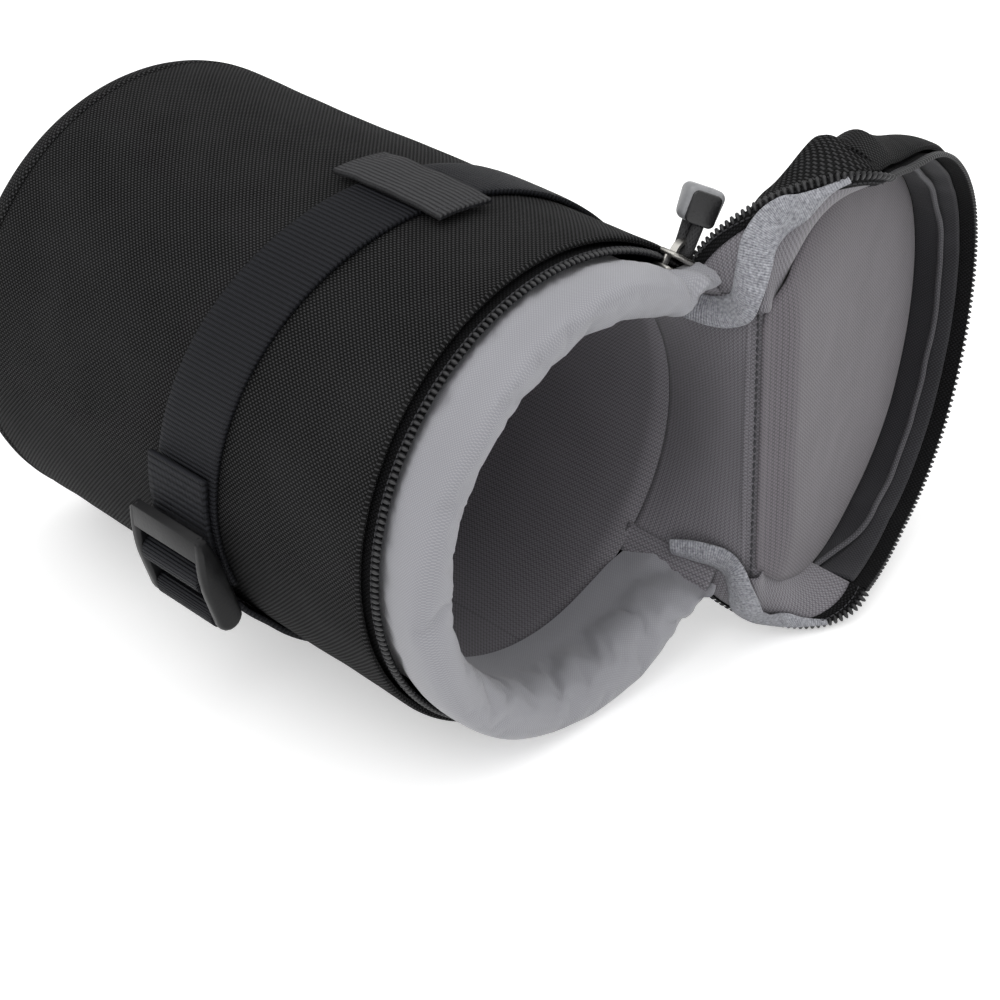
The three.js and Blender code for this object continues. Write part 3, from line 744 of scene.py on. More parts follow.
def tube(path: Path, radius: float, sides: int) -> Mesh:
    """Run a round cord along a path.

    Args:
        path: points, in millimetres.
        radius: the cord's radius.
        sides: faces round it.

    Returns:
        A mesh with a cloth map round it and along it.
    """
    frames = []
    side = Vector((0.31, 0.52, 0.79))
    for index, point in enumerate(path):
        ahead = (path[min(index + 1, len(path) - 1)] - path[max(index - 1, 0)]).normalized()
        side = (side - ahead * side.dot(ahead)).normalized()
        frames.append((point, side.copy(), ahead.cross(side)))

    def surface(across: float, along: float) -> Vector:
        """Return a point of the cord's skin."""
        point, out, up = frames[round(along * (len(frames) - 1))]
        return point + radius * (math.cos(math.tau * across) * out + math.sin(math.tau * across) * up)

    size = (math.tau * radius, path_length(path))
    bm = draped(sides, len(path) - 1, surface, size, merge=True)
    bmesh.ops.holes_fill(bm, edges=[edge for edge in bm.edges if edge.is_boundary], sides=0)
    face_out(bm)
    return bm


def beads(places: Sequence[Matrix], segments: tuple[int, int] = (8, 5)) -> Mesh:
    """Set a row of small rounded shapes, each a unit ball under its own matrix.

    Args:
        places: each shape's matrix.
        segments: faces round and along each ball.

    Returns:
        One mesh of them all.
    """
    bm = bmesh.new()
    cloth_layer(bm)
    for place in places:
        bmesh.ops.create_uvsphere(
            bm, u_segments=segments[0], v_segments=segments[1], radius=1.0, matrix=place, calc_uvs=True
        )
    return bm


def ring_row(
    along: float, radius: float, start: float, end: float, pitch: float, size: Vector
) -> list[Matrix]:
    """Return the places of a row round the axis.

    Args:
        along, radius: where the row runs, in millimetres.
        start, end: its first and last angle.
        pitch: from one shape to the next, in millimetres.
        size: half sizes along the axis, outward and round it.

    Returns:
        Each shape's matrix.
    """
    count = round(abs(end - start) * radius / pitch)
    shape = Matrix.Translation((along, radius, 0)) @ Matrix.Diagonal(size).to_4x4()
    return [Matrix.Rotation(start + (end - start) * (i + 0.5) / count, 4, "X") @ shape for i in range(count)]


def path_row(path: Path, outward: Path, pitch: float, size: Vector) -> list[Matrix]:
    """Return the places of a row along a path.

    Args:
        path: points, in millimetres.
        outward: the direction out of the cloth at each.
        pitch: from one shape to the next.
        size: half sizes across the row, outward and along it.

    Returns:
        Each shape's matrix.
    """
    places = []
    travelled = 0.0
    due = pitch / 2
    for (first, second), out in zip(zip(path, path[1:]), outward):
        length = (second - first).length
        while travelled + length >= due:
            ahead = (second - first).normalized()
            up = (out - ahead * out.dot(ahead)).normalized()
            basis = Matrix((up.cross(ahead), up, ahead)).transposed().to_4x4()
            point = first.lerp(second, (due - travelled) / length)
            places.append(Matrix.Translation(point) @ basis @ Matrix.Diagonal(size).to_4x4())
            due += pitch
        travelled += length
    return places


def slab(outline: Outline, low: float, high: float, bevel: float, segments: int = 2) -> Mesh:
    """Extrude an outline in the Y and Z directions along X and round its edges.

    Args:
        outline: Y and Z of its points, in millimetres.
        low, high: where it starts and ends along X.
        bevel: the width of the rounding.
        segments: steps in the rounding.

    Returns:
        A closed mesh.
    """
    bm = bmesh.new()
    face = bm.faces.new([bm.verts.new((low, y, z)) for y, z in outline])
    pushed = bmesh.ops.extrude_face_region(bm, geom=[face])
    moved = [item for item in pushed["geom"] if isinstance(item, bmesh.types.BMVert)]
    bmesh.ops.translate(bm, verts=moved, vec=(high - low, 0, 0))
    face_out(bm)
    sharp = [edge for edge in bm.edges if edge.calc_face_angle(0) > math.radians(40)]
    bmesh.ops.bevel(
        bm, geom=sharp, offset=bevel, segments=segments, profile=0.5, affect="EDGES", material=-1
    )
    cloth_layer(bm)
    return bm


def merged(*parts: Mesh) -> Mesh:
    """Put several meshes into one.

    Args:
        parts: the meshes, which are used up.

    Returns:
        The one mesh.
    """
    whole = bmesh.new()
    for part in parts:
        mesh = bpy.data.meshes.new("part")
        part.to_mesh(mesh)
        part.free()
        whole.from_mesh(mesh)
        bpy.data.meshes.remove(mesh)
    return whole


def face_ring(face: bmesh.types.BMFace) -> tuple[int, ...]:
    """Return the numbers of a face's points, from the lowest on.

    Args:
        face: the face.

    Returns:
        The numbers, in the order in which they go round.
    """
    numbers = [vert.index for vert in face.verts]
    start = numbers.index(min(numbers))
    return tuple(numbers[start:] + numbers[:start])


def relaxed(
    bm: Mesh, sewn: Callable[[Vector], float], pressure: float, slack: float, limit: float
) -> None:
    """Let padded cloth settle, so that it swells between its seams and puckers where it is cut too long.

    Args:
        bm: the cloth, in millimetres.
        sewn: how firmly a point is sewn down, from 0 to 1.
        pressure: how hard the padding pushes.
        slack: how much longer the cloth is cut than the padding, as a share.
        limit: how far a point may move, in millimetres.
    """
    # The faces go in one fixed order, so that the cloth settles in the same way each time.
    bm.verts.index_update()
    rings = sorted(face_ring(face) for face in bm.faces)
    mesh = bpy.data.meshes.new("settling")
    mesh.from_pydata([vert.co * SETTLING_SCALE for vert in bm.verts], [], rings)
    piece = bpy.data.objects.new("settling", mesh)
    bpy.context.collection.objects.link(piece)
    seams = piece.vertex_groups.new(name="sewn")
    for index, vert in enumerate(bm.verts):
        seams.add([index], sewn(vert.co), "REPLACE")
    modifier = piece.modifiers.new("settling", "CLOTH")
    modifier.point_cache.frame_start = 1
    modifier.point_cache.frame_end = SETTLING_FRAMES
    modifier.collision_settings.use_collision = False
    cloth = modifier.settings
    cloth.vertex_group_mass = seams.name
    cloth.quality = 6
    cloth.mass = 0.3
    cloth.tension_stiffness = cloth.compression_stiffness = 20.0
    cloth.shear_stiffness = 8.0
    cloth.bending_stiffness = 0.6
    cloth.air_damping = 2.0
    cloth.use_pressure = True
    cloth.uniform_pressure_force = pressure
    cloth.shrink_min = -slack
    cloth.effector_weights.gravity = 0.0
    scene = bpy.context.scene
    for number in range(1, SETTLING_FRAMES + 1):
        scene.frame_set(number)
    settled = piece.evaluated_get(bpy.context.evaluated_depsgraph_get())
    for vert, moved in zip(bm.verts, settled.data.vertices):
        step = moved.co / SETTLING_SCALE - vert.co
        vert.co += step * min(1.0, limit / max(step.length, 1e-9))
    scene.frame_set(1)
    bpy.data.objects.remove(piece)
    bpy.data.meshes.remove(mesh)


def added(
    name: str,
    bm: Mesh,
    place: Matrix,
    finish: Material,
    slot: Slot,
    body: Body | None = Body.POUCH,
    nodes: Sequence[str] = (),
    thickness: float = 0.0,
) -> Piece:
    """Make a mesh into a piece of the pouch.

    Args:
        name: the piece's name.
        bm: its mesh, in millimetres.
        place: where it goes in the row frame.
        finish: its material.
        slot: the finish it would take in the record; not used.
        body: what it moves with, or None for cloth that bends across a joint.
        nodes: the solids that it stands for.
        thickness: how thick a sheet is, in millimetres.

    Returns:
        The piece.
    """
    bm.transform(place)
    mesh = bpy.data.meshes.new(name)
    bm.to_mesh(mesh)
    bm.free()
    for polygon in mesh.polygons:
        polygon.use_smooth = True
    mesh.set_sharp_from_angle(angle=math.radians(50))
    mesh.materials.append(finish)
    piece = bpy.data.objects.new(name, mesh)
    bpy.context.collection.objects.link(piece)
    if thickness:
        solid = piece.modifiers.new("thickness", "SOLIDIFY")
        solid.thickness = thickness * MM
        solid.offset = 0.0
    if body:
        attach(piece, body.value)
    if nodes:
        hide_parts(*nodes)
    return piece


def cut_from(
    piece: Piece,
    width: float,
    length: float,
    held: Hold,
    rests_on: Sequence[str],
    area: float | None = None,
    pieces: Sequence[Piece] = (),
) -> None:
    """Take a piece's flat pattern, in millimetres, and the strips sewn to it; nothing is done with them."""
    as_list(rests_on)
    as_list(pieces)


@dataclass
class Assembly(ABC):
    """A part of the pouch, built in millimetres from its materials."""

    layout: Layout
    finishes: Finishes

    @abstractmethod
    def build(self) -> None:
        """Make the pieces."""


@dataclass
class Tube(Assembly):
    """The padded tube: woven shell, rounded base and lining. Places are in millimetres from the mouth."""

    hem: float = -4.5
    hem_round: tuple[Spot, ...] = ((0.1, 0.9), (0.0, 0.5), (0.4, 0.1), (1.2, 0.0))
    hem_turn: Spot = (0.3, 0.2)
    hem_depth: float = 3.0
    hem_hold: float = 12.0
    hem_share: float = 0.35
    wall: float = 1.6
    wall_rows: int = 56
    swell: Spot = (0.45, 34.0)
    ripple: Spot = (0.15, 11.0)
    slump: float = 0.25
    base_seam: float = -145.0
    base_edge: float = 11.0
    base_gap: float = 0.6
    edge_steps: int = 12
    groove: float = 0.45
    lining_start: float = -12.2
    lining_radius: float = 48.9
    lining_rows: int = 20
    lining_swell: Spot = (0.25, 16.0)
    lining_steps: int = 96
    base_inside: float = -145.4
    base_dome: float = 1.2
    steps: int = 192

    def settle(self, point: Vector) -> Vector:
        """Give the woven wall its soft unevenness and the flat that it rests on.

        Args:
            point: a point of the round wall.

        Returns:
            Where it settles.
        """
        radius = math.hypot(point.y, point.z)
        angle = math.atan2(point.z, point.y)
        off_floor = ease((math.sin(angle) + 0.97) / 0.25)
        near_hem = ease((self.hem - point.x) / self.hem_hold)
        uneven = self.swell[0] * lump(point, self.swell[1])
        uneven += self.ripple[0] * lump(point, self.ripple[1], 3.0)
        radius += (uneven - self.slump) * off_floor * (self.hem_share + (1 - self.hem_share) * near_hem)
        moved = polar(point.x, radius, angle)
        moved.z = max(moved.z, self.layout.flat - self.layout.radius)
        return moved

    def build(self) -> None:
        """Make the shell, the base and the lining."""
        self.build_shell()
        self.build_base()
        self.build_lining()

    def build_shell(self) -> None:
        """Make the woven wall, folded over at its hem and drawn in at its seams."""
        radius = self.layout.radius
        outline = [(self.hem - back, radius - inward) for back, inward in self.hem_round]
        first = self.hem - self.hem_depth
        span = first - self.base_seam - 1.0
        outline += [(first - span * i / self.wall_rows, radius) for i in range(self.wall_rows + 1)]
        outline += [(self.base_seam, radius - self.groove), (self.base_seam, radius - self.wall)]
        outline += [(self.hem - self.hem_turn[0], radius - self.wall + self.hem_turn[1])]
        bm = spun(outline, 0.0, math.tau, self.steps)
        reshape(bm, self.settle)
        nodes = ("body_shell", "wall_foam")
        shell = added("shell", bm, self.layout.axis, self.finishes.woven, Slot.WOVEN, nodes=nodes)

    def build_base(self) -> None:
        """Make the base with its soft rounded edge."""
        radius = self.layout.radius
        start = self.base_seam - self.base_gap
        reach = start + self.layout.length
        profile = [(self.base_seam, radius - self.groove - 1.0), (self.base_seam, radius - self.groove)]
        for step in range(self.edge_steps + 1):
            angle = math.pi / 2 * step / self.edge_steps
            inward = self.base_edge * (1 - math.cos(angle))
            profile.append((start - reach * math.sin(angle), radius - 0.1 - inward))
        edge = profile[-1][1]
        profile += [(-self.layout.length, edge * share) for share in (0.8, 0.6, 0.4, 0.2, 0.0)]
        bm = spun(profile, 0.0, math.tau, self.steps, closed=False)
        for vert in bm.verts:
            vert.co.z = max(vert.co.z, self.layout.flat - radius)
        nodes = ("base_panel", "base_foam")
        added("base", bm, self.layout.axis, self.finishes.woven, Slot.WOVEN, nodes=nodes)

    def build_lining(self) -> None:
        """Make the lining of the wall and of the base."""
        inside = self.lining_radius
        span = self.base_inside - self.lining_start
        rows = self.lining_rows
        profile = [(self.lining_start + span * i / rows, inside) for i in range(rows + 1)]
        bm = spun(profile, 0.0, math.tau, self.lining_steps, closed=False)
        height, size = self.lining_swell
        for vert in bm.verts:
            vert.co += from_axis(vert.co) * height * lump(vert.co, size)
        piece = added("body_lining_cloth", bm, self.layout.axis, self.finishes.lining, Slot.LINING,
                      nodes=("body_lining",), thickness=0.4)
        cut_from(piece, -span, math.tau * inside, Hold.STRETCHED, ["wall_foam"])
        shares = (0, 0.2, 0.4, 0.6, 0.8, 0.95, 1)
        edge = inside - 0.4
        profile = [(self.base_inside + self.base_dome * (1 - share**2), edge * share) for share in shares]
        bm = spun(profile, 0.0, math.tau, self.lining_steps, closed=False)
        piece = added("base_lining_cloth", bm, self.layout.axis, self.finishes.lining, Slot.LINING,
                      nodes=("base_lining",), thickness=0.3)
        cut_from(piece, 2 * inside, 2 * inside, Hold.LAID, ["base_foam"], math.pi * inside**2)


@dataclass
class Collar(Assembly):
    """The padded nylon collar that stands out of the mouth and is flattened to a flap at both ends."""

    outer: float = 54.6
    inner: float = 46.5
    tip: float = 13.5
    tip_steps: int = 12
    root: float = -12.0
    start: float = math.radians(47)
    pinch: float = 0.22
    pinch_angle: float = math.radians(24)
    stand_from: float = -6.0
    stand_over: float = 14.0
    crown: float = 0.5
    crown_from: float = -4.0
    crown_over: float = 16.0
    pleat: float = 1.1
    pleat_turns: float = 46.0
    pleat_slant: float = 0.25
    flap_angle: float = math.radians(11)
    flap_root: float = 2.0
    flap_lift: float = 5.5
    flap_back: float = 2.0
    pressed: float = 1.6
    pressed_from: float = math.radians(82)
    pressed_to: float = math.radians(150)
    pressed_fade: float = math.radians(18)
    pressed_depth: float = 5.0
    steps: int = 240
    rows: int = 13
    seam: float = -4.0
    seam_hold: float = 3.0
    pressure: float = 3.0
    slack: float = 0.035
    settling: float = 3.0

    def section(self) -> list[Spot]:
        """Return the collar's outline: along the axis and radius.

        Returns:
            The closed outline.
        """
        half = (self.outer - self.inner) / 2
        middle = (self.outer + self.inner) / 2
        round_start = self.tip - half
        rows = self.rows
        points = [(self.root + (round_start - self.root) * i / rows, self.outer) for i in range(rows + 1)]
        for step in range(1, self.tip_steps):
            angle = math.pi * step / self.tip_steps
            points.append((round_start + half * math.sin(angle), middle + half * math.cos(angle)))
        points += [(round_start + (self.root - round_start) * i / rows, self.inner) for i in range(rows + 1)]
        return points

    def from_end(self, point: Vector) -> float:
        """Return the angle from a point to the nearer end of the collar."""
        angle = math.atan2(point.z, point.y) % math.tau
        return min(angle - self.start, math.tau - self.start - angle)

    def under_lid(self, angle: float) -> float:
        """Return how far the soft lid presses on the collar at an angle, from 0 to 1."""
        before = ease((angle - self.pressed_from) / self.pressed_fade)
        return before * (1 - ease((angle - self.pressed_to) / self.pressed_fade))

    def stuff(self, point: Vector) -> Vector:
        """Give the collar its padding, and fold its ends flat into pointed flaps.

        Args:
            point: a point of the plain collar.

        Returns:
            Where it goes.
        """
        radius = math.hypot(point.y, point.z)
        angle = math.atan2(point.z, point.y) % math.tau
        share = min(self.from_end(point) / self.pinch_angle, 1.0)
        flat = 1 - ease(share)
        full = self.pinch + (1 - self.pinch) * math.sin(math.pi / 2 * share)
        middle = (self.outer + self.inner) / 2
        side = (radius - middle) / (self.outer - middle)
        stand = ease((point.x - self.stand_from) / self.stand_over)
        height = min(max((point.x - self.crown_from) / self.crown_over, 0), 1)
        crown = self.crown * math.sin(math.pi * height) * stand
        soft = 0.5 * lump(point, 17, 1.0) + 0.2 * lump(point, 7, 5.0)
        pleat = self.pleat * flat * math.sin(angle * self.pleat_turns + point.x * self.pleat_slant) * stand
        near = 1 - ease(self.from_end(point) / self.flap_angle)
        lift = near * (self.flap_root + self.flap_lift * stand)
        radius = middle + lift + (radius - middle) * full + side * (crown + soft * stand) + pleat
        pressed = self.pressed * self.under_lid(angle)
        radius -= pressed * max(side, 0.0) * ease(point.x / self.pressed_depth)
        reach = point.x + 0.6 * stand * lump(point, 20, 8.0) - self.flap_back * near * stand
        return polar(reach, radius, angle)

    def sewn(self, point: Vector) -> float:
        """Return how firmly a point of the collar is sewn down, from 0 to 1."""
        end = 1 - ease((self.from_end(point) - math.radians(1)) / math.radians(4))
        return max(1 - ease((point.x - self.seam) / self.seam_hold), end)

    def build(self) -> None:
        """Make the collar, sewn down at the zip and at both ends."""
        bm = spun(self.section(), self.start, math.tau - 2 * self.start, self.steps)
        reshape(bm, self.stuff)
        relaxed(bm, self.sewn, self.pressure, self.slack, self.settling)
        nodes = ("collar_cover", "collar_foam")
        collar = added("collar", bm, self.layout.rolled, self.finishes.collar, Slot.COLLAR, nodes=nodes)


@dataclass
class ZipHalf(Assembly):
    """One half of the zip, on the pouch or on the lid: its tape, its coil of teeth and its sewing."""

    body: Body
    start: float
    place: Matrix
    settle: Move
    coil_radius: float = 57.5
    coil_middle: float = 1.6
    tape_radius: float = 57.0
    tape_start: float = 1.0
    tape_end: float = 11.0
    tape_steps: int = 200
    sewing: float = 2.2
    sewing_lift: float = 0.55

    @property
    def side(self) -> float:
        """The way that this half lies from the mouth."""
        return -1.0 if self.body is Body.POUCH else 1.0

    def row(self, along: float, radius: float, size: Triple) -> list[Matrix]:
        """Return a row of shapes that follows the settled edge.

        Args:
            along, radius: the row's place.
            size: half the shape's sizes.

        Returns:
            Each shape's matrix.
        """
        end = math.tau - self.start
        places = ring_row(self.side * along, radius, self.start, end, ZIP_PITCH, Vector(size))
        for place in places:
            place.translation = self.settle(place.translation)
        return places

    def build(self) -> None:
        """Make the tape, the coil and its sewing line."""
        name = self.body.value
        low, high = sorted((self.side * self.tape_start, self.side * self.tape_end))
        profile = rounded((low, self.tape_radius - 0.3), (high, self.tape_radius + 0.2), 0.2, 1)
        bm = spun(profile, self.start, math.tau - 2 * self.start, self.tape_steps)
        reshape(bm, self.settle)
        added(f"zip_tape_{name}_cloth", bm, self.place, self.finishes.tape, Slot.TAPE, self.body,
              nodes=(f"zip_tape_{name}",))
        bm = beads(self.row(self.coil_middle, self.coil_radius, COIL_SIZE))
        added(f"zip_coil_{name}", bm, self.place, self.finishes.teeth, Slot.TEETH, self.body,
              nodes=(f"zip_teeth_{name}",))
        bm = beads(self.row(self.sewing, self.coil_radius + self.sewing_lift, SEWING_SIZE), SMALL_BEAD)
        added(f"zip_sewing_{name}", bm, self.place, self.finishes.thread, Slot.TAPE, self.body)


@dataclass
class HingePanel(Assembly):
    """The soft panel between the tube and the lid: woven outside, lining inside and a stitched fold."""

    half_angle: float = math.radians(43)
    outer_start: float = -4.2
    lining_start: float = -12.0
    fold: float = 17.8
    outer_radius: float = 58.6
    lining_radius: float = 49.0
    outer_sag: Spot = (2.0, 0.5)
    lining_sag: Spot = (0.7, -0.6)
    fold_start: Spot = (-1.5, 0.4)
    fold_end: Spot = (-1.4, -2.4)
    fold_sink: float = 0.3
    cover_lift: float = 0.6
    stitch_place: Spot = (-0.3, 0.35)
    stitch_pitch: float = 2.1
    stitch_size: Triple = (0.36, 0.3, 0.9)

    def ruled(self, arc: Spot, sag: Spot, across: float, along: float) -> Vector:
        """Return a point of the panel, between an arc on the tube and the straight fold.

        Args:
            arc: the arc's place and radius.
            sag: how far outside the hinge line the fold lies, and how far the cloth sags before it.
            across, along: shares of the cloth.

        Returns:
            The point.
        """
        start, radius = arc
        rise, dip = sag
        angle = self.half_angle * (2 * across - 1)
        chord = (self.layout.hinge.y + rise) / math.cos(angle)
        point = polar(start + (self.fold - start) * along, radius + (chord - radius) * along, angle)
        point.y += dip * math.sin(math.pi * along) * (1 + 0.6 * lump(point, 14))
        return point

    @property
    def outside(self) -> Surface:
        """The woven face."""
        return partial(self.ruled, (self.outer_start, self.outer_radius), self.outer_sag)

    @property
    def inside(self) -> Surface:
        """The lining."""
        return partial(self.ruled, (self.lining_start, self.lining_radius), self.lining_sag)

    def build(self) -> None:
        """Make both faces of the panel and the fold."""
        rolled = self.layout.rolled
        span = 2 * self.half_angle * self.outer_radius
        bm = draped(48, 20, self.outside, (span, 26))
        panel = added("hinge_cloth", bm, rolled, self.finishes.woven, Slot.WOVEN,
                      nodes=("hinge_outer", "hinge_foam"), thickness=1.0)
        bm = draped(48, 24, self.inside, (span, 31))
        turn_cloth(bm)
        lining = added("hinge_lining_cloth", bm, rolled, self.finishes.lining, Slot.LINING,
                       nodes=("hinge_lining",), thickness=0.6)
        width = self.half_angle * self.lining_radius + self.layout.hinge.y * math.tan(self.half_angle)
        length = self.fold - self.lining_start
        strips = self.build_fold()
        cut_from(lining, width, length, Hold.STRETCHED, ["hinge_foam"], None, strips)

    def build_fold(self) -> list[Piece]:
        """Make the strips of cloth that bend at the hinge, with their stitches.

        Returns:
            The strips and the stitches.
        """
        rolled = self.layout.rolled
        hinge = self.layout.hinge
        height = hinge.y * math.tan(self.half_angle)
        turn = Matrix.Rotation(self.layout.opening, 3, "Z")
        first = Vector((self.fold + self.fold_start[0], hinge.y + self.fold_start[1], 0))
        last = Vector((hinge.x, hinge.y, 0)) + turn @ Vector((*self.fold_end, 0))
        away = Vector((first.y - last.y, last.x - first.x, 0)).normalized()

        def strip(sink: float, lift: float, across: float, along: float) -> Vector:
            """Return a point of the fold.

            Args:
                sink, lift: how far it is sunk in the middle and lifted towards the outside.
                across, along: shares of the cloth.

            Returns:
                The point.
            """
            point = first.lerp(last, along) + away * lift
            point += Vector((0.5, -sink, 0)) * math.sin(math.pi * along)
            point.z = height * (2 * across - 1)
            return point

        size = (2 * height, (last - first).length)
        bm = draped(48, 12, partial(strip, self.fold_sink, 0.0), size)
        fold = added("hinge_fold", bm, rolled, self.finishes.lining, Slot.LINING, None, thickness=0.5)
        bm = draped(48, 12, partial(strip, 0.0, self.cover_lift), size)
        cover = added("hinge_fold_cover", bm, rolled, self.finishes.woven, Slot.WOVEN, None, thickness=0.4)
        for piece in (fold, cover):
            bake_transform(piece)
        x, y = hinge.x + self.stitch_place[0], hinge.y + self.stitch_place[1]
        path = [Vector((x, y, height * (i / 60 - 1))) for i in range(121)]
        outward = [Vector((0.4, -1, 0))] * len(path)
        row = path_row(path, outward, self.stitch_pitch, Vector(self.stitch_size))
        stitches = added("hinge_stitches", beads(row, SMALL_BEAD), rolled, self.finishes.thread, Slot.LINING)
        return [fold, cover, stitches]


@dataclass
class Lid(Assembly):
    """The open lid: woven panel and rim, lining, rolled hem and rim lining. Places are of the shut lid."""

    depth: float = 21.0
    panel_radius: float = 59.0
    panel_setback: float = 1.8
    panel_round: float = 2.2
    rim_radius: float = 60.0
    rim_wall: float = 1.5
    rim_edge: float = 4.5
    rim_crown: float = 1.6
    rim_turn: float = 1.6
    rim_rows: int = 14
    rim_steps: int = 160
    rim_start: float = math.radians(78)
    rim_lining_radius: float = 56.0
    rim_lining_width: float = 10.4
    rim_lining_rows: int = 10
    corner_swell: float = 5.0
    swell_angle: float = math.radians(34)
    lining_place: float = 14.6
    lining_seam: float = 16.6
    lining_fold: float = 19.0
    lining_radius: float = 54.4
    cut: float = 41.7
    corner_trim: float = 0.075
    corner_from: float = math.radians(36)
    corner_to: float = math.radians(80)
    hem_start: float = math.radians(74)
    hem_place: Spot = (16.2, 54.3)
    hem_width: float = 7.2
    hem_lean: float = 0.8
    hem_steps: int = 200
    hem_roll: float = 0.75
    seam_radius: float = 0.5
    back_rise: float = -1.4
    back_sag: float = 0.5
    slack: tuple[Spot, ...] = (
        (43, 0), (60, 3.6), (70, 4.8), (78, 4.5), (82, 2.4), (86, 0.4), (90, -1.3), (94, -2.3), (99, -3.0),
        (106, -3.2), (132, -3.2), (145, -2.4), (157, -1.0), (170, -0.2), (185, 0), (220, 0), (255, 3),
        (285, 0), (317, 0)
    )

    def settle(self, point: Vector) -> Vector:
        """Let the soft lid sag: its edge is drawn up at the corner and hangs beyond it.

        Args:
            point: a point of the shut lid.

        Returns:
            Where it settles.
        """
        angle = math.degrees(math.atan2(point.z, point.y)) % 360
        moved = point.copy()
        for (low, first), (high, second) in zip(self.slack, self.slack[1:]):
            if low <= angle <= high:
                drop = first + (second - first) * (angle - low) / (high - low)
                if angle < 180:
                    drop *= 1 + (self.back_rise if drop > 0 else self.back_sag) * point.x / self.depth
                moved.z += drop * (math.hypot(point.y, point.z) / self.rim_radius) ** 2
                break
        return moved

    def swell(self, point: Vector) -> float:
        """Return how much further out the rim stands near the upper corner.

        Args:
            point: a point of the shut rim.

        Returns:
            The distance, in millimetres.
        """
        angle = math.atan2(point.z, point.y)
        near = 1 - ease(abs(angle - self.rim_start) / self.swell_angle)
        share = (point.x - self.rim_edge) / (self.depth - self.rim_edge)
        return self.corner_swell * near * math.sin(math.pi * min(max(share, 0.0), 1.0))

    def disc(self, radius: float, cut: float, trim: float, place: Callable[[float, Vector], float]) -> Mesh:
        """Return a round panel with one straight side.

        Args:
            radius: its radius.
            cut: how far the straight side is from the axis.
            trim: the share of the radius that is cut away at the two corners.
            place: how far along the axis it lies, from the share of the radius and the point.

        Returns:
            The panel, with a cloth map.
        """

        def surface(across: float, along: float) -> Vector:
            """Return a point of the panel.

            Args:
                across, along: shares of the cloth.

            Returns:
                The point.
            """
            angle = math.tau * across
            corner = (min(angle, math.tau - angle) - self.corner_from) / (self.corner_to - self.corner_from)
            edge = radius * (1 - trim * math.sin(math.pi * min(max(corner, 0.0), 1.0)))
            reach = cut / math.cos(angle) if edge * math.cos(angle) > cut else edge
            point = polar(0, reach * along, angle)
            point.x = place(along, point)
            return point

        bm = draped(160, 28, surface, (1, 1), merge=True)
        layer = cloth_layer(bm)
        for face in bm.faces:
            for loop in face.loops:
                loop[layer].uv = loop.vert.co.y, loop.vert.co.z
        return bm

    def arc(self, profile: Outline, closed: bool = True) -> Mesh:
        """Return a profile turned round the lid's rim."""
        return spun(profile, self.rim_start, math.tau - 2 * self.rim_start, self.rim_steps, closed)

    def put(self, name: str, bm: Mesh, finish: Material, slot: Slot,
            nodes: Sequence[str] = (), thickness: float = 0.0) -> Piece:
        """Sag a mesh with the lid and add it, open."""
        reshape(bm, self.settle)
        return added(name, bm, self.layout.opened, finish, slot, Body.LID, nodes, thickness)

    def build(self) -> None:
        """Make the lid's panels, rim and linings."""
        self.build_panels()
        self.build_rim()

    def outside(self, share: float, point: Vector) -> float:
        """Return the outer panel's place, rounded off at its edge.

        Args:
            share: from 0 at the middle to 1 at the edge.
            point: the flat place.

        Returns:
            The place along the axis.
        """
        edge = max(0.0, (share - 0.9) / 0.1)
        soft = 1 if point.y < self.cut - 6 else 0.2
        return self.depth - 0.6 - self.panel_round * edge * edge * soft + 0.3 * lump(point, 30)

    def inside(self, share: float, point: Vector) -> float:
        """Return the lining's place, slack over the padding and drawn in at its seam.

        Args:
            share: from 0 at the middle to 1 at the edge.
            point: the flat place.

        Returns:
            The place along the axis.
        """
        soft = 0.5 * lump(point, 22, 2.0) + 0.2 * lump(point, 8, 6.0)
        drawn = (self.lining_seam - self.lining_place) * share**10 * ease((self.cut - point.y) / 12)
        place = self.lining_place - 1.0 * (1 - share**6) - soft * (1 - share**4) * 0.8 + drawn
        return place + (self.lining_fold - place) * ease((point.y - self.cut) / 10 + 1)

    def build_panels(self) -> None:
        """Make the woven outer panel and the lining."""
        bm = self.disc(self.panel_radius, self.cut - self.panel_setback, self.corner_trim, self.outside)
        panel = self.put("lid_cloth", bm, self.finishes.woven, Slot.WOVEN, ("lid_panel", "lid_foam"), 1.2)
        radius, cut = self.lining_radius, self.cut
        bm = self.disc(radius, cut, 0.0, self.inside)
        # The lid's lining takes the darker copy of the lining nylon: painted shade.
        finish = self.finishes.lid_lining
        lining = self.put("lid_lining_cloth", bm, finish, Slot.LINING, ("lid_lining",), 0.5)
        corner = math.acos(cut / radius)
        area = radius**2 * (math.pi - corner) + cut * radius * math.sin(corner)
        strips = self.build_hem()
        cut_from(lining, 2 * radius, radius + cut, Hold.STRETCHED, ["lid_foam"], area, strips)

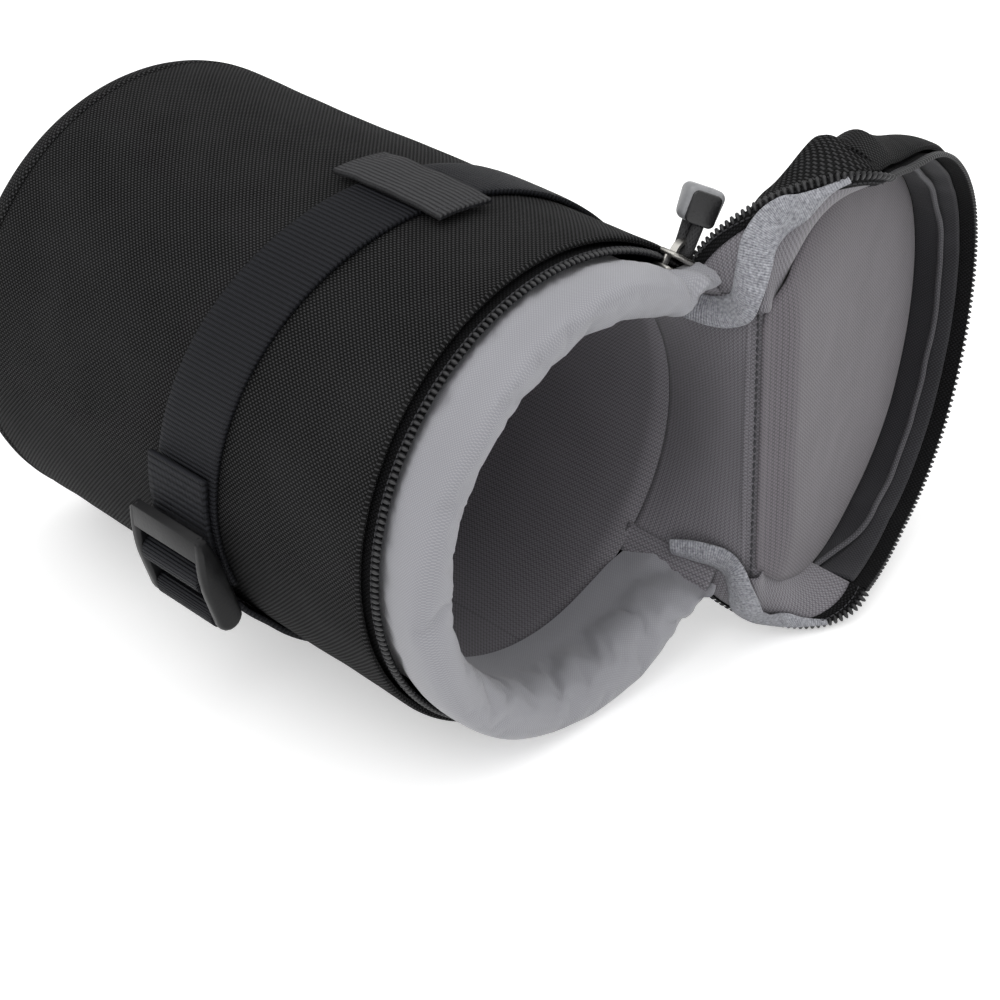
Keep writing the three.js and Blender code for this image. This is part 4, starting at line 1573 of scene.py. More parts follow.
    def build_rim(self) -> None:
        """Make the woven rim, padded between the zip and the panel, and its lining."""
        low = self.rim_radius - self.rim_wall
        edge = self.depth - 0.4
        start = self.rim_edge
        profile = [(start, low), (start, self.rim_radius - 0.5)]
        for step in range(1, self.rim_rows):
            share = step / self.rim_rows
            crown = self.rim_crown * math.sin(math.pi * share)
            profile.append((start + (edge - self.rim_turn - start) * share, self.rim_radius + crown))
        profile += [(edge - 0.4, self.rim_radius - 1.2), (edge, low - 1.0)]
        profile += [(edge - 1.2, low - 1.0), (edge - 2.5, low)]
        bm = self.arc(profile)
        for vert in bm.verts:
            vert.co += from_axis(vert.co) * (0.3 * lump(vert.co, 24, 4.0) + self.swell(vert.co))
        self.put("lid_rim_cloth", bm, self.finishes.woven, Slot.WOVEN, ("lid_rim",))
        rows = self.rim_lining_rows
        width = self.rim_lining_width
        profile = [(start + 0.3 + width * i / rows, self.rim_lining_radius) for i in range(rows + 1)]
        bm = self.arc(profile, closed=False)
        for vert in bm.verts:
            bulge = math.sin(math.pi * (vert.co.x - start) / 10)
            vert.co -= from_axis(vert.co) * (0.5 * bulge + 0.3 * lump(vert.co, 8, 7.0))
        nodes = ("lid_rim_lining",)
        lining = self.put("lid_rim_lining_cloth", bm, self.finishes.rim_lining, Slot.LINING, nodes, 0.4)
        length = (math.tau - 2 * self.rim_start) * self.rim_lining_radius
        cut_from(lining, width, length, Hold.STRETCHED, ["lid_rim"])

    def hem(self, across: float, along: float) -> Vector:
        """Return a point of the rolled hem: across from the seam to its free edge.

        Args:
            across, along: shares of the cloth.

        Returns:
            The point.
        """
        angle = self.hem_start + (math.tau - 2 * self.hem_start) * along
        across *= 0.12 + 0.88 * ease(min(along, 1 - along) * 7)
        place, radius = self.hem_place
        point = polar(place - self.hem_width * across, radius - self.hem_lean * across**2, angle)
        wave = lump(point, 11, 2.5)
        curl = from_axis(point) * (0.7 * wave + 0.4) * across
        return point - curl + Vector((0.5 * wave * across, 0, 0))

    def build_hem(self) -> list[Piece]:
        """Make the rolled hem that covers the seam between the lining and the rim.

        Returns:
            The hem, its roll and its seam.
        """
        shares = [i / self.hem_steps for i in range(self.hem_steps + 1)]
        bm = draped(10, self.hem_steps, self.hem, (7.4, 240))
        strip = self.put("lid_hem", bm, self.finishes.rim_lining, Slot.LINING, thickness=0.7)
        bm = tube([self.hem(1.0, share) for share in shares], self.hem_roll, 8)
        roll = self.put("lid_hem_roll", bm, self.finishes.hem, Slot.LINING)
        bm = tube([self.hem(0.0, share) for share in shares], self.seam_radius, 6)
        return [strip, roll, self.put("lid_seam", bm, self.finishes.tape, Slot.LINING)]


@dataclass
class Corner(Assembly):
    """The soft corner between the tube and the lid: woven hump, lining, zip tape and coil.

    The open lid turns the corner over: its lining faces up, and its woven side lies behind the zip.
    """

    panel: HingePanel
    lid: Lid
    side: Side
    hump: float = 10.5
    hump_from: Spot = (0.22, 0.3)
    crown: float = 7.0
    crown_from: Spot = (0.35, 0.5)
    tuck: float = 2.0
    tuck_to: Spot = (0.5, 0.3)
    belly: float = 3.0
    zip_lift: float = 10.0
    zip_pull: float = 50.0
    zip_place: Spot = (1.6, 57.5)
    rim_from: float = 0.81
    rim_place: Spot = (4.3, 59.6)
    lining_shares: Triple = (0.4, 0.62, 0.85)
    lining_seam: tuple[Triple, ...] = (
        (18.4, 52.8, 45), (17.3, 53.0, 55), (17.1, 53.2, 66), (17.8, 52.4, 76)
    )
    cloth_shares: Spot = (0.2, 0.55)
    cloth_seam: tuple[Triple, ...] = ((20.5, 55.3, 50), (20.5, 54.9, 63), (20.3, 58.6, 78))
    tape_width: float = 4.5
    tape_edge: float = 1.02
    tape_lift: float = 0.5
    steps: int = 80
    foot: Triple = (1.4, 57.6, math.radians(45))
    lid_end: float = 78.0
    gore_angle: float = math.radians(51)
    over_zip: Triple = (-0.82, 0.45, 0.35)
    facing: Triple = (0.1, -0.49, 0.865)
    outward: Triple = (0.06, -0.2, 0.98)

    @property
    def label(self) -> str:
        """The corner's name."""
        return self.side.name.lower()

    def zip_line(self, across: float) -> Vector:
        """Return a point of the zip, which runs from the tube's mouth into the lid's rim without a kink.

        Args:
            across: from 0 at the tube to 1 at the lid.

        Returns:
            The point.
        """
        t = min(max(across, 0.0), 1.0)
        square, cube = t * t, t * t * t
        before, last, after = (self.lid_edge(*self.zip_place, self.lid_end + step) for step in (-1, 0, 1))
        point = polar(*self.foot) * (2 * cube - 3 * square + 1) + last * (3 * square - 2 * cube)
        point += (after - before).normalized() * self.zip_pull * (cube - square)
        point.z += self.zip_lift * math.sin(math.pi * t)
        return point

    def lid_edge(self, place: float, radius: float, degrees: float) -> Vector:
        """Return a point of the open lid from its place when shut."""
        shut = polar(place, radius, math.radians(degrees) * self.side.value)
        return self.mirrored(self.layout.swing @ self.lid.settle(shut))

    def inner(self, across: float, along: float) -> Vector:
        """Return a point of the lining: along from the seam to the zip.

        Args:
            across, along: shares of the cloth.

        Returns:
            The point.
        """
        hinge = self.layout.hinge
        fold = Vector((hinge.x + 1.5, hinge.y + 0.2, hinge.y * math.tan(self.panel.half_angle) - 2.5))
        face = self.panel.inside
        line = [face(1.0, share) for share in self.lining_shares] + [fold]
        line += [self.lid_edge(*spot) for spot in self.lining_seam]
        point = flowing(line, across).lerp(self.zip_line(across), along)
        point += Vector(self.facing) * self.belly * math.sin(math.pi * along) * math.sin(math.pi * across)
        return self.mirrored(point)

    def outer(self, across: float, along: float) -> Vector:
        """Return a point of the woven side: along from the zip, over the hump, to the seam behind.

        Args:
            across, along: shares of the cloth.

        Returns:
            The point.
        """
        face = self.panel.outside
        line = [face(1.0, share) for share in self.cloth_shares]
        line += [self.lid_edge(*spot) for spot in self.cloth_seam]
        over_zip = Vector(self.over_zip)
        start = self.zip_line(across) + over_zip * 0.3
        start = start.lerp(self.lid_edge(*self.rim_place, self.lid_end), ease((across - 0.6) / 0.4))
        point = start.lerp(flowing(line, across), along)
        near_rim = ease((across - self.rim_from) / (1 - self.rim_from))
        hump = self.hump * ease((across - self.hump_from[0]) / self.hump_from[1])
        crown = self.crown * ease((across - self.crown_from[0]) / self.crown_from[1])
        tuck = self.tuck * (1 - ease((across - self.tuck_to[0]) / self.tuck_to[1]))
        wave = math.sin(math.pi * along)
        point += over_zip * hump * (1 - near_rim) * wave
        point += Vector(self.outward) * crown * wave
        point -= Vector(self.facing) * tuck * wave
        point += over_zip * 0.5 * lump(point, 9, 3.0) * wave
        return self.mirrored(point)

    def mirrored(self, point: Vector) -> Vector:
        """Return a point on this corner's side of the lid."""
        return Vector((point.x, point.y, point.z * self.side.value))

    def over(self, across: float, along: float, lift: float) -> Vector:
        """Return a point at a height over the lining, on the side that is seen.

        Args:
            across, along: shares of the cloth.
            lift: the height, in millimetres.

        Returns:
            The point.
        """
        step = 0.01
        round_it = self.inner(across + step, along) - self.inner(across - step, along)
        up_it = self.inner(across, along + step) - self.inner(across, along - step)
        return self.inner(across, along) + round_it.cross(up_it).normalized() * lift * self.side.value

    def tape(self, across: float, along: float) -> Vector:
        """Return a point of the zip's tape."""
        height = (self.inner(across, 1.0) - self.inner(across, 0.0)).length
        return self.over(across, self.tape_edge - self.tape_width / height * along, self.tape_lift)

    def put(self, name: str, bm: Mesh, finish: Material, slot: Slot,
            nodes: Sequence[str] = (), thickness: float = 0.0) -> Piece:
        """Add a piece that bends from the tube to the lid.

        Args:
            name: what the piece is, the last part of its name.
            bm: its mesh, in millimetres.
            finish, slot: its material and the finish it takes in the record.
            nodes: the solids that it stands for.
            thickness: how thick a sheet is, in millimetres.

        Returns:
            The piece.
        """
        rolled = self.layout.rolled
        piece = added(f"corner_{self.label}_{name}", bm, rolled, finish, slot, None, nodes, thickness)
        rolled @ self.inner(0.05, 1.0)
        rolled @ self.inner(0.9, 1.0)
        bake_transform(piece)
        return piece

    def build(self) -> None:
        """Make the corner's cloth and lining, with the strips that are sewn to them."""
        size = self.pattern(self.outer)
        bm = draped(44, 24, self.outer, size)
        cloth = self.put("cloth", bm, self.finishes.woven, Slot.WOVEN, (f"gusset_{self.label}",), 0.7)
        cut_from(cloth, *size, Hold.GATHERED, ["lid_foam"])
        size = self.pattern(self.inner)
        bm = draped(44, 14, self.inner, size)
        lining = self.put("lining", bm, self.finishes.lining, Slot.LINING, thickness=0.4)
        strips = self.build_zip()
        strips.append(self.build_gore())
        strips.append(Binding(self).build())
        cut_from(lining, *size, Hold.GATHERED, ["lid_foam"], None, strips)

    def build_zip(self) -> list[Piece]:
        """Make the zip that runs over the corner.

        Returns:
            Its tape, its coil and its sewing.
        """
        bm = draped(44, 6, self.tape, (44, 5))
        strips = [self.put("tape", bm, self.finishes.tape, Slot.TAPE, thickness=0.4)]
        shares = [i / self.steps for i in range(self.steps + 1)]
        edge, lift = self.tape_edge, self.tape_lift
        path = [self.over(share, edge, lift) for share in shares]
        out = [self.over(share, edge, lift + 1) - point for share, point in zip(shares, path)]
        row = path_row(path, out, ZIP_PITCH, Vector(COIL_SIZE))
        strips.append(self.put("coil", beads(row), self.finishes.teeth, Slot.TEETH))
        path = [self.over(share, 0.9, 1.0) for share in shares]
        row = path_row(path, out, ZIP_PITCH, Vector(SEWING_SIZE))
        strips.append(self.put("sewing", beads(row, SMALL_BEAD), self.finishes.thread, Slot.TAPE))
        return strips

    def pattern(self, surface: Surface) -> Spot:
        """Return the mean length across and along of a piece's flat pattern.

        Args:
            surface: the piece's surface.

        Returns:
            Both lengths, in millimetres.
        """
        steps = 24
        grid = [[surface(i / steps, j / steps) for j in range(steps + 1)] for i in range(steps + 1)]
        area = 0.0
        for near, far in zip(grid, grid[1:]):
            for a, b, c, d in zip(near, near[1:], far[1:], far):
                area += (c - a).cross(d - b).length / 2
        length = path_length([row[steps // 2] for row in grid])
        return length, area / length

    def beyond(self, edge: Vector) -> Vector:
        """Return the point on the collar's end that lies beyond a point of the hinge lining's edge."""
        return polar(edge.x, math.hypot(edge.y, edge.z) + 1.5, self.gore_angle)

    def build_gore(self) -> Piece:
        """Make the gore that closes the gap between the hinge lining and the collar's end.

        Returns:
            The gore.
        """

        def gore(across: float, along: float) -> Vector:
            """Return a point of the gore."""
            edge = self.panel.inside(1.0, 0.8 * along - 0.05)
            return self.mirrored(edge.lerp(self.beyond(edge), across))

        bm = draped(6, 20, gore, (7, 23))
        name = f"corner_{self.label}_gore"
        return added(name, bm, self.layout.rolled, self.finishes.lining, Slot.LINING, thickness=0.5)


@dataclass
class Slider(Assembly):
    """The nickel slider on the zip, its cord loop and its moulded grip."""

    angle: float = math.radians(49.63)
    top: Spot = (58.3, 59.6)
    low: Spot = (54.9, 56.1)
    length: float = 11.0
    width: float = 8.4
    crown_half: float = 3.4
    crown_width: float = 1.9
    crown_rise: float = 1.9
    post: Spot = (3.2, 5.2)
    pivot: float = 61.6
    tilt: float = math.radians(10)
    cord_bend: float = 1.6
    cord_neck: float = 1.3
    cord_radius: float = 1.4
    cord_leg: float = 0.45
    cord_top: float = 1.2
    cord_sunk: float = 1.5
    cord_steps: int = 40
    reach: float = 6.0
    grip_width: float = 9.6
    grip_height: float = 8.6
    grip_thickness: float = 6.4
    grip_turn: float = math.radians(60)
    grip_inset: float = 1.1

    @property
    def place(self) -> Matrix:
        """The slider's place on the zip."""
        return self.layout.rolled @ Matrix.Rotation(self.angle, 4, "X")

    @property
    def pull(self) -> Matrix:
        """The pull's place on the slider."""
        return self.place @ Matrix.Translation((0, self.pivot, 0)) @ Matrix.Rotation(self.tilt, 4, "X")

    def plate(self, low: float, high: float, bevel: float) -> Mesh:
        """Return one of the slider's plates, broad at its mouth and narrow at its tail.

        Args:
            low, high: where it starts and ends.
            bevel: the width of its rounding.

        Returns:
            The plate.
        """
        half = self.length / 2
        wide = self.width / 2
        side = [(wide * 0.86, -half), (wide, -half * 0.5), (wide * 0.92, 0.1)]
        side += [(wide * 0.66, half * 0.75), (wide * 0.5, half)]
        bm = slab(side + [(-x, z) for x, z in reversed(side)], low, high, bevel)
        reshape(bm, lambda point: point.yxz)
        face_out(bm)
        return bm

    def crown(self, across: float, along: float) -> Vector:
        """Return a point of the arched bridge that holds the cord.

        Args:
            across, along: shares of the bridge.

        Returns:
            The point.
        """
        angle = math.pi * along
        foot = self.top[1] - 0.3
        rise = foot + (self.pivot + self.crown_rise - foot) * math.sin(angle) ** 0.7
        return Vector((self.crown_width * (across - 0.5), rise, -self.crown_half * math.cos(angle)))

    def build(self) -> None:
        """Make the slider, the cord and the grip."""
        self.build_metal()
        self.build_cord()
        self.build_grip()

    def build_metal(self) -> None:
        """Make the slider: two plates, the post between them and the bridge."""
        bridge = draped(2, 16, self.crown, (2, 12))
        bmesh.ops.solidify(bridge, geom=bridge.faces[:], thickness=0.9)
        face_out(bridge)
        low, high = self.low[1] - 0.3, self.top[0] + 0.3
        tail, nose = self.post
        post = slab([(low, tail), (high, tail), (high, nose), (low, nose)], -0.3, 0.3, 0.08)
        metal = merged(self.plate(*self.top, 0.45), self.plate(*self.low, 0.3), bridge, post)
        added("slider_metal_body", metal, self.place, self.finishes.nickel, Slot.METAL, Body.SLIDER,
              nodes=("slider_body",))

    def build_cord(self) -> None:
        """Make the cord: two legs held in the grip and a bend through the bridge."""
        path = []
        for step in range(self.cord_steps + 1):
            turn = step / self.cord_steps * 2 - 1
            foot = min(1.0, (1 - abs(turn)) / self.cord_leg)
            gap = self.cord_neck + (self.cord_bend - self.cord_neck) * ease(1 - foot)
            bend = turn / (1 - self.cord_leg) * math.pi / 2
            spot = Vector((gap * math.sin(bend), -self.cord_top * math.cos(bend), 0))
            if foot < 1:
                spot = Vector((math.copysign(gap, turn), (self.reach + self.cord_sunk) * (1 - foot), 0))
            path.append(spot)
        bm = tube(path, self.cord_radius, 12)
        added("pull_cord_loop", bm, self.pull, self.finishes.cord, Slot.CORD, Body.PULL,
              nodes=("pull_cord",))

    def build_grip(self) -> None:
        """Make the grip's moulding, whose light grey is a painted highlight, and the softer face set into
        it.
        """
        pull = self.pull @ Matrix.Rotation(self.grip_turn, 4, "Y")
        half = self.grip_width / 2
        foot = self.reach
        head = foot + self.grip_height
        thick = self.grip_thickness / 2
        bm = slab(rounded((foot, -half), (head, half), 2.0, 5), -thick, thick, 1.5, 4)
        for vert in bm.verts:
            share = (vert.co.y - foot) / self.grip_height
            vert.co = Vector((vert.co.z * (0.9 + 0.1 * share), vert.co.y, vert.co.x * (0.8 + 0.2 * share)))
        face_out(bm)
        # The moulding's light grey is a painted highlight for the gloss on the grip's top and edges.
        added("pull_grip_moulding", bm, pull, self.finishes.grip_painted_highlight, Slot.GRIP, Body.PULL,
              nodes=("pull_grip",))
        inset = self.grip_inset
        outline = rounded((foot - 0.2, inset - half), (head - inset, half - inset), 1.4, 5)
        bm = slab(outline, thick - 1.0, thick + 0.35, 0.5, 3)
        reshape(bm, lambda point: point.zyx)
        face_out(bm)
        added("pull_grip_face", bm, pull, self.finishes.grip, Slot.GRIP, Body.PULL)


@dataclass
class Strap(Assembly):
    """The webbing strap round the tube, its keeper tab and the ends that hold the buckle."""

    width: float = 20.0
    radius: float = 60.8
    thickness: float = 1.2
    place: float = -51.1
    slant_across: float = 10.3
    slant_up: float = 4.0
    start: float = math.radians(-68)
    overlap: float = math.radians(6)
    buckle_angle: float = math.radians(197)
    keeper_angle: float = math.radians(92)
    keeper_length: float = 35.0
    keeper_width: float = 13.6
    keeper_lift: float = 2.0
    keeper_droop: float = 0.7
    fray_count: int = 44
    fray_size: Triple = (0.55, 0.09, 0.09)
    stitch_place: float = 15.2
    stitch_count: int = 7
    stitch_size: Triple = (0.3, 0.25, 0.95)
    bar_height: float = 66.1
    bar_spacing: float = 11.5
    lower_bar: float = 10.5
    wrap: float = 3.0
    tail: float = 26.0
    tail_lift: float = 1.9
    tail_steps: int = 16
    turn_steps: int = 24
    anchor_end: float = math.radians(51)

    @property
    def upper_bar(self) -> float:
        """The upper bar's place round the tube."""
        return self.lower_bar - self.bar_spacing

    @property
    def buckle_place(self) -> Matrix:
        """The buckle's place in the row frame."""
        along = Matrix.Translation((self.middle(self.buckle_angle), 0, 0))
        return self.layout.axis @ along @ Matrix.Rotation(self.buckle_angle, 4, "X")

    def middle(self, angle: float) -> float:
        """Return where the strap's middle is along the axis at an angle."""
        return self.slant_across * math.cos(angle) + self.slant_up * math.sin(angle) + self.place

    def build(self) -> None:
        """Make the strap, the keeper, the fold in the buckle and the anchor."""
        end = self.buckle_angle + self.overlap

        def band(across: float, along: float) -> Vector:
            """Return a point of the strap.

            Args:
                across, along: shares of the cloth.

            Returns:
                The point.
            """
            angle = self.start + (end - self.start) * along
            point = polar(self.middle(angle) + self.width * (across - 0.5), self.radius, angle)
            swell = 0.12 * lump(point, 20, 9.0) - 0.25 * abs(2 * across - 1) ** 6
            return point + polar(0, swell, angle)

        length = (end - self.start) * self.radius
        bm = draped(16, 260, band, (self.width, length))
        added("strap", bm, self.layout.axis, self.finishes.webbing, Slot.WEBBING, nodes=("strap_main",),
              thickness=self.thickness)
        self.build_keeper()
        self.build_ends()

    def tab(self, across: float, along: float) -> Vector:
        """Return a point of the keeper: across is round the tube, along is along the axis.

        Args:
            across, along: shares of the cloth.

        Returns:
            The point.
        """
        angle = self.keeper_angle + self.keeper_width / 2 / self.radius * (2 * across - 1)
        reach = self.keeper_length / 2 * (2 * along - 1)
        droop = self.keeper_droop * ease((abs(reach) - 9) / 9)
        uneven = 0.25 * lump(Vector((reach, across * 9, 0)), 6)
        return polar(reach + self.middle(angle), self.radius + self.keeper_lift - droop + uneven, angle)

    def build_keeper(self) -> None:
        """Make the keeper tab, sewn down on both sides of the strap, with frayed ends."""
        axis = self.layout.axis
        bm = draped(14, 44, self.tab, (self.keeper_width, self.keeper_length))
        turn_cloth(bm)
        # The keeper's lighter copy of the webbing is painted light.
        added("keeper", bm, axis, self.finishes.keeper, Slot.WEBBING, nodes=("keeper_tab",), thickness=1.2)
        fibres = []
        length, *thin = self.fray_size
        for along, outward in ((0.0, -1.0), (1.0, 1.0)):
            for index in range(self.fray_count):
                root = self.tab((index + 0.5) / self.fray_count, along) + Vector((0.35 * outward, 0, 0.1))
                stray = lump(Vector((index * 3.1, along * 7, 0)), 1.0)
                size = Matrix.Diagonal(Vector((length + 0.25 * stray, *thin))).to_4x4()
                lean = Matrix.Rotation(0.5 * stray, 4, "Y") @ Matrix.Rotation(0.7 * stray, 4, "Z")
                fibres.append(Matrix.Translation(root) @ lean @ size)
        added("keeper_fray", beads(fibres, (5, 3)), axis, self.finishes.webbing, Slot.WEBBING)
        row = []
        spread = 0.9 * self.keeper_width / 2 / self.radius
        size = Matrix.Diagonal(Vector(self.stitch_size)).to_4x4()
        for reach in (-self.stitch_place, self.stitch_place):
            for index in range(self.stitch_count):
                angle = self.keeper_angle + spread * (2 * (index + 0.5) / self.stitch_count - 1)
                spot = Vector((self.middle(angle) + reach, self.radius + self.keeper_lift, 0))
                row.append(Matrix.Rotation(angle, 4, "X") @ Matrix.Translation(spot) @ size)
        added("keeper_stitches", beads(row, SMALL_BEAD), axis, self.finishes.thread, Slot.WEBBING)

    def build_ends(self) -> None:
        """Make the fold round the buckle's upper bar and the anchor round its lower bar."""
        radius = self.radius + self.tail_lift
        upper = Vector((0, self.bar_height, self.upper_bar))
        lower = Vector((0, self.bar_height, self.lower_bar))
        route = []
        for step in range(self.tail_steps + 1):
            share = step / self.tail_steps
            reach = (self.upper_bar - 0.4) * share - self.tail * (1 - share)
            route.append(polar(0, radius, reach / radius))
        for step in range(1, self.turn_steps + 1):
            angle = math.pi - math.tau * 0.8 * step / self.turn_steps
            route.append(upper + polar(0, self.wrap, angle))
        self.build_strip("strap_fold", route)
        route = []
        for step in range(self.turn_steps):
            angle = 1.2 * math.pi - 1.55 * math.pi * step / (self.turn_steps - 1)
            route.append(lower + polar(0, self.wrap, angle))
        start = math.atan2(self.lower_bar, self.bar_height)
        for step in range(1, self.turn_steps + 1):
            angle = start + (self.anchor_end - start) * step / self.turn_steps
            route.append(polar(0, self.radius + self.tail_lift * (1 - ease(step / 9)), angle))
        self.build_strip("strap_anchor", route)

    def build_strip(self, node: str, route: Path) -> None:
        """Lay a strip of webbing along a route in the buckle's plane.

        Args:
            node: the solid that it stands for.
            route: the middle of the strip.
        """

        def surface(across: float, along: float) -> Vector:
            """Return a point of the strip."""
            middle = route[round(along * (len(route) - 1))]
            return Vector((self.width * (across - 0.5), middle.y, middle.z))

        bm = draped(12, len(route) - 1, surface, (self.width, path_length(route)))
        added(f"{node}_webbing", bm, self.buckle_place, self.finishes.webbing, Slot.WEBBING, nodes=(node,),
              thickness=1.4)


@dataclass
class Buckle(Assembly):
    """The moulded ladder-lock buckle: two curved rails, two bars and a broad lip."""

    strap: Strap
    half: float = 13.3
    rail: float = 3.0
    rail_radius: float = 3.5
    rail_bevel: float = 1.1
    bar_radius: float = 1.9
    lip_reach: float = 14.5
    lip_length: float = 8.0
    lip_low: float = 64.1
    lip_top: float = 66.4
    lip_thickness: float = 2.3
    lip_corner: float = 3.2
    curve_steps: int = 6

    def curve(self, a: Spot, b: Spot, c: Spot) -> list[Spot]:
        """Return points on a curve from a to c that leans towards b.

        Args:
            a, b, c: the points.

        Returns:
            The points, in order.
        """
        points = []
        for step in range(self.curve_steps + 1):
            t = step / self.curve_steps
            shares = ((1 - t) ** 2, 2 * t * (1 - t), t * t)
            points.append(tuple(sum(share * x for share, x in zip(shares, line)) for line in zip(a, b, c)))
        return points

    @property
    def rail_top(self) -> float:
        """How high the rails stand."""
        return self.strap.bar_height + self.rail_radius

    @property
    def front(self) -> list[Spot]:
        """The outer edge of a rail, from the lip to the upper bar."""
        lean = (self.rail_top, self.strap.upper_bar - self.lip_length / 2)
        return self.curve((self.lip_top, -self.lip_reach), lean, (self.rail_top, self.strap.upper_bar + 2))

    def rail_outline(self) -> list[Spot]:
        """Return the outline of a rail.

        Returns:
            Its points, in order.
        """
        height, lower, upper = self.strap.bar_height, self.strap.lower_bar, self.strap.upper_bar
        low = height - self.rail_radius
        outline = self.curve((self.lip_low, -self.lip_reach), (low, -self.lip_length), (low, upper))
        for step in range(9):
            angle = math.pi - math.pi * step / 8
            spot = polar(0, self.rail_radius, angle)
            outline.append((height + spot.y, lower + spot.z))
        return outline + self.front[::-1]

    def bar(self, place: float) -> Mesh:
        """Return a round bar between the rails.

        Args:
            place: its place round the tube.

        Returns:
            The bar.
        """
        bm = bmesh.new()
        turn = Matrix.Translation((0, self.strap.bar_height, place)) @ Matrix.Rotation(math.pi / 2, 4, "Y")
        bmesh.ops.create_cone(
            bm, cap_ends=True, segments=20, radius1=self.bar_radius, radius2=self.bar_radius,
            depth=2 * (self.half - 0.5), matrix=turn,
        )
        cloth_layer(bm)
        return bm

    def trimmed(self, point: Vector) -> Vector:
        """Round the lip's two corners.

        Args:
            point: a point of the square buckle.

        Returns:
            Where it goes.
        """
        corner = self.lip_corner
        wide = abs(point.x) - self.half + corner
        far = -point.z - self.lip_reach + corner
        over = math.hypot(wide, far) / corner
        if wide <= 0 or far <= 0 or over <= 1:
            return point
        across = math.copysign(self.half - corner + wide / over, point.x)
        return Vector((across, point.y, -(self.lip_reach - corner + far / over)))

    def build(self) -> None:
        """Make the buckle."""
        half, rail = self.half, self.rail
        outline = self.rail_outline()
        parts = [slab(outline, low, low + rail, self.rail_bevel, 4) for low in (-half, half - rail)]
        parts += [self.bar(place) for place in (self.strap.upper_bar, self.strap.lower_bar)]
        front = [spot for spot in self.front if spot[1] < self.lip_length - self.lip_reach]
        lip = front + [(y - self.lip_thickness, z) for y, z in reversed(front)]
        parts.append(slab(lip, rail / 2 - half, half - rail / 2, 0.4, 3))
        whole = merged(*parts)
        reshape(whole, self.trimmed)
        place = self.strap.buckle_place
        added("buckle_moulding", whole, place, self.finishes.plastic, Slot.BUCKLE, Body.BUCKLE,
              nodes=("buckle_frame",))


@dataclass
class Binding:
    """The knitted binding tape along the hinge lining's upper edge and up the corner to the zip.

    Its route is given by shares across and along the corner's lining.
    """

    corner: Corner
    width: float = 6.5
    swell: float = 1.2
    lift: float = 0.5
    steps: int = 90
    route: tuple[Spot, ...] = (
        (0.0, -0.3), (0.12, -0.32), (0.23, -0.28), (0.31, -0.12), (0.36, 0.12), (0.40, 0.36),
        (0.43, 0.58), (0.48, 0.72), (0.54, 0.77), (0.61, 0.77), (0.68, 0.84), (0.75, 0.98)
    )

    def build(self) -> Piece:
        """Make the tape.

        Returns:
            The tape.
        """
        spots = [Vector((*spot, 0)) for spot in self.route]
        path, normals = [], []
        for step in range(self.steps + 1):
            spot = flowing(spots, step / self.steps)
            point = self.corner.over(spot.x, spot.y, self.lift)
            path.append(point)
            normals.append((self.corner.over(spot.x, spot.y, self.lift + 1) - point).normalized())

        def run(across: float, along: float) -> Vector:
            """Return a point of the tape: along from the mouth to the lid.

            Args:
                across, along: shares of the cloth.

            Returns:
                The point.
            """
            index = round(along * self.steps)
            ahead = path[min(index + 1, self.steps)] - path[max(index - 1, 0)]
            side = ahead.cross(normals[index]).normalized()
            belly = math.sin(math.pi * across)
            wide = self.width * (1 + 0.25 * math.sin(math.pi * along) - 0.85 * ease((along - 0.72) / 0.28))
            puff = self.swell * belly + 0.3 * lump(path[index] + side * 4 * across, 5)
            return path[index] + side * wide * (across - 0.5) + normals[index] * puff

        bm = draped(14, self.steps, run, (self.width, path_length(path)))
        return self.corner.put("binding", bm, self.corner.finishes.knit, Slot.COLLAR, thickness=0.6)


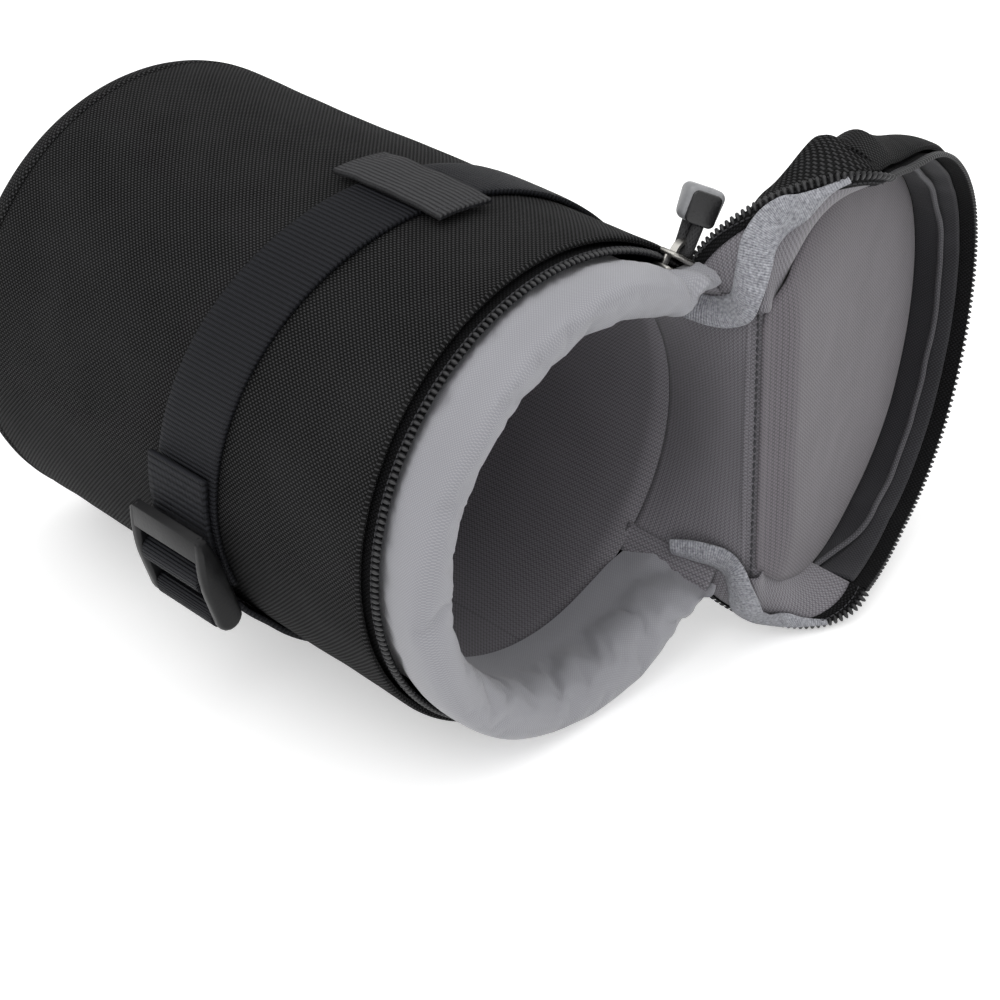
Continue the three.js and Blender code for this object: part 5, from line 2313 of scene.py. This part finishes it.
@dataclass
class Studio:
    """The pale floor, the soft lamps and the camera."""

    layout: Layout
    azimuth: float = math.radians(45.09)
    elevation: float = math.radians(32.65)
    distance: float = 0.5421
    shift_right: float = -0.01509
    shift_up: float = -0.00153
    lens: float = 85.75
    sensor: float = 36.0
    ambient: float = 0.45
    floor_size: float = 3.0
    floor_glow: float = 0.42

    def build(self) -> None:
        """Make the floor, the lamps, the backdrop light and the camera."""
        self.build_floor()
        self.build_lamp("key", Vector((-0.25, -0.55, 1.05)), math.radians(70), 1.2)
        self.build_lamp("fill", Vector((0.95, -0.45, 0.75)), math.radians(90), 0.8)
        self.build_lamp("back", Vector((0.15, 0.95, 0.85)), math.radians(60), 0.8)
        world = bpy.data.worlds.new("studio")
        world.use_nodes = True
        tree = world.node_tree
        background = tree.nodes["Background"]
        background.inputs[0].default_value = (1, 1, 1, 1)
        path = tree.nodes.new("ShaderNodeLightPath")
        level = tree.nodes.new("ShaderNodeMath")
        level.operation = "MULTIPLY_ADD"
        tree.links.new(path.outputs["Is Camera Ray"], level.inputs[0])
        level.inputs[1].default_value = 1 - self.ambient
        level.inputs[2].default_value = self.ambient
        tree.links.new(level.outputs[0], background.inputs[1])
        bpy.context.scene.world = world
        bpy.context.scene.view_settings.view_transform = "Standard"
        self.build_camera()

    def build_floor(self) -> None:
        """Make the pale floor, which goes to white away from the pouch's shadow."""
        bm = bmesh.new()
        bmesh.ops.create_grid(bm, x_segments=8, y_segments=8, size=self.floor_size)
        mesh = bpy.data.meshes.new("floor")
        bm.to_mesh(mesh)
        bm.free()
        floor = bpy.data.objects.new("floor", mesh)
        bpy.context.collection.objects.link(floor)
        shader = Shader("pale_floor")
        grain = shader.noise(40.0, 2.0)
        colour = shader.mixed(grain, srgb(240, 240, 240), srgb(246, 246, 246))
        material = shader.close(colour, 0.9, grain, 0.01)
        path = shader.tree.nodes.new("ShaderNodeLightPath")
        seen = shader.math(Step.ADD, path.outputs["Is Camera Ray"], path.outputs["Is Glossy Ray"])
        shader.surface.inputs["Emission Color"].default_value = (1, 1, 1, 1)
        glow = shader.math(Step.MULTIPLY, seen, self.floor_glow)
        shader.feed(shader.surface.inputs["Emission Strength"], glow)
        mesh.materials.append(material)

    def build_lamp(self, name: str, place: Vector, spread: float, strength: float) -> None:
        """Hang a broad soft lamp that faces the pouch.

        Args:
            name: the lamp's name.
            place: where it hangs, in metres.
            spread: the angle that it fills, seen from the pouch.
            strength: the light that it gives, in watts a square metre.
        """
        lamp = bpy.data.lights.new(name, "SUN")
        lamp.angle = spread
        lamp.energy = strength
        holder = bpy.data.objects.new(name, lamp)
        holder.location = place
        holder.rotation_euler = place.to_track_quat("Z", "Y").to_euler()
        bpy.context.collection.objects.link(holder)

    def build_camera(self) -> None:
        """Set the camera at the photograph's angle."""
        cos_az, sin_az = math.cos(self.azimuth), math.sin(self.azimuth)
        cos_el, sin_el = math.cos(self.elevation), math.sin(self.elevation)
        right = Vector((cos_az, sin_az, 0))
        up = Vector((-sin_az * sin_el, cos_az * sin_el, cos_el))
        back = Vector((sin_az * cos_el, -cos_az * cos_el, sin_el))
        data = bpy.data.cameras.new("camera")
        data.lens = self.lens
        data.sensor_width = self.sensor
        data.clip_start = 0.01
        camera = bpy.data.objects.new("camera", data)
        aim = self.layout.mouth + right * self.shift_right + up * self.shift_up
        turn = Matrix((right, up, back)).transposed().to_4x4()
        camera.matrix_world = Matrix.Translation(aim + back * self.distance) @ turn
        bpy.context.collection.objects.link(camera)
        bpy.context.scene.camera = camera


def main() -> None:
    """Build the pouch piece by piece, then the studio."""
    logging.basicConfig(level=logging.INFO, format="%(name)s: %(message)s")
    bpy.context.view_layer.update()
    layout = Layout.from_frame()
    kit = (layout, Finishes())
    panel = HingePanel(*kit)
    lid = Lid(*kit)
    strap = Strap(*kit)
    assemblies: list[Assembly] = [
        Tube(*kit),
        Collar(*kit),
        ZipHalf(*kit, Body.POUCH, math.radians(44), layout.rolled, Vector.copy),
        ZipHalf(*kit, Body.LID, lid.rim_start, layout.opened, lid.settle),
        panel,
        lid,
        Corner(*kit, panel, lid, Side.UPPER),
        Corner(*kit, panel, lid, Side.LOWER, hump=4.0, crown=1.6),
        Slider(*kit),
        strap,
        Buckle(*kit, strap),
    ]
    for assembly in assemblies:
        assembly.build()
        log.info("built %s", type(assembly).__name__)
    Studio(layout).build()


if __name__ == "__main__":
    main()
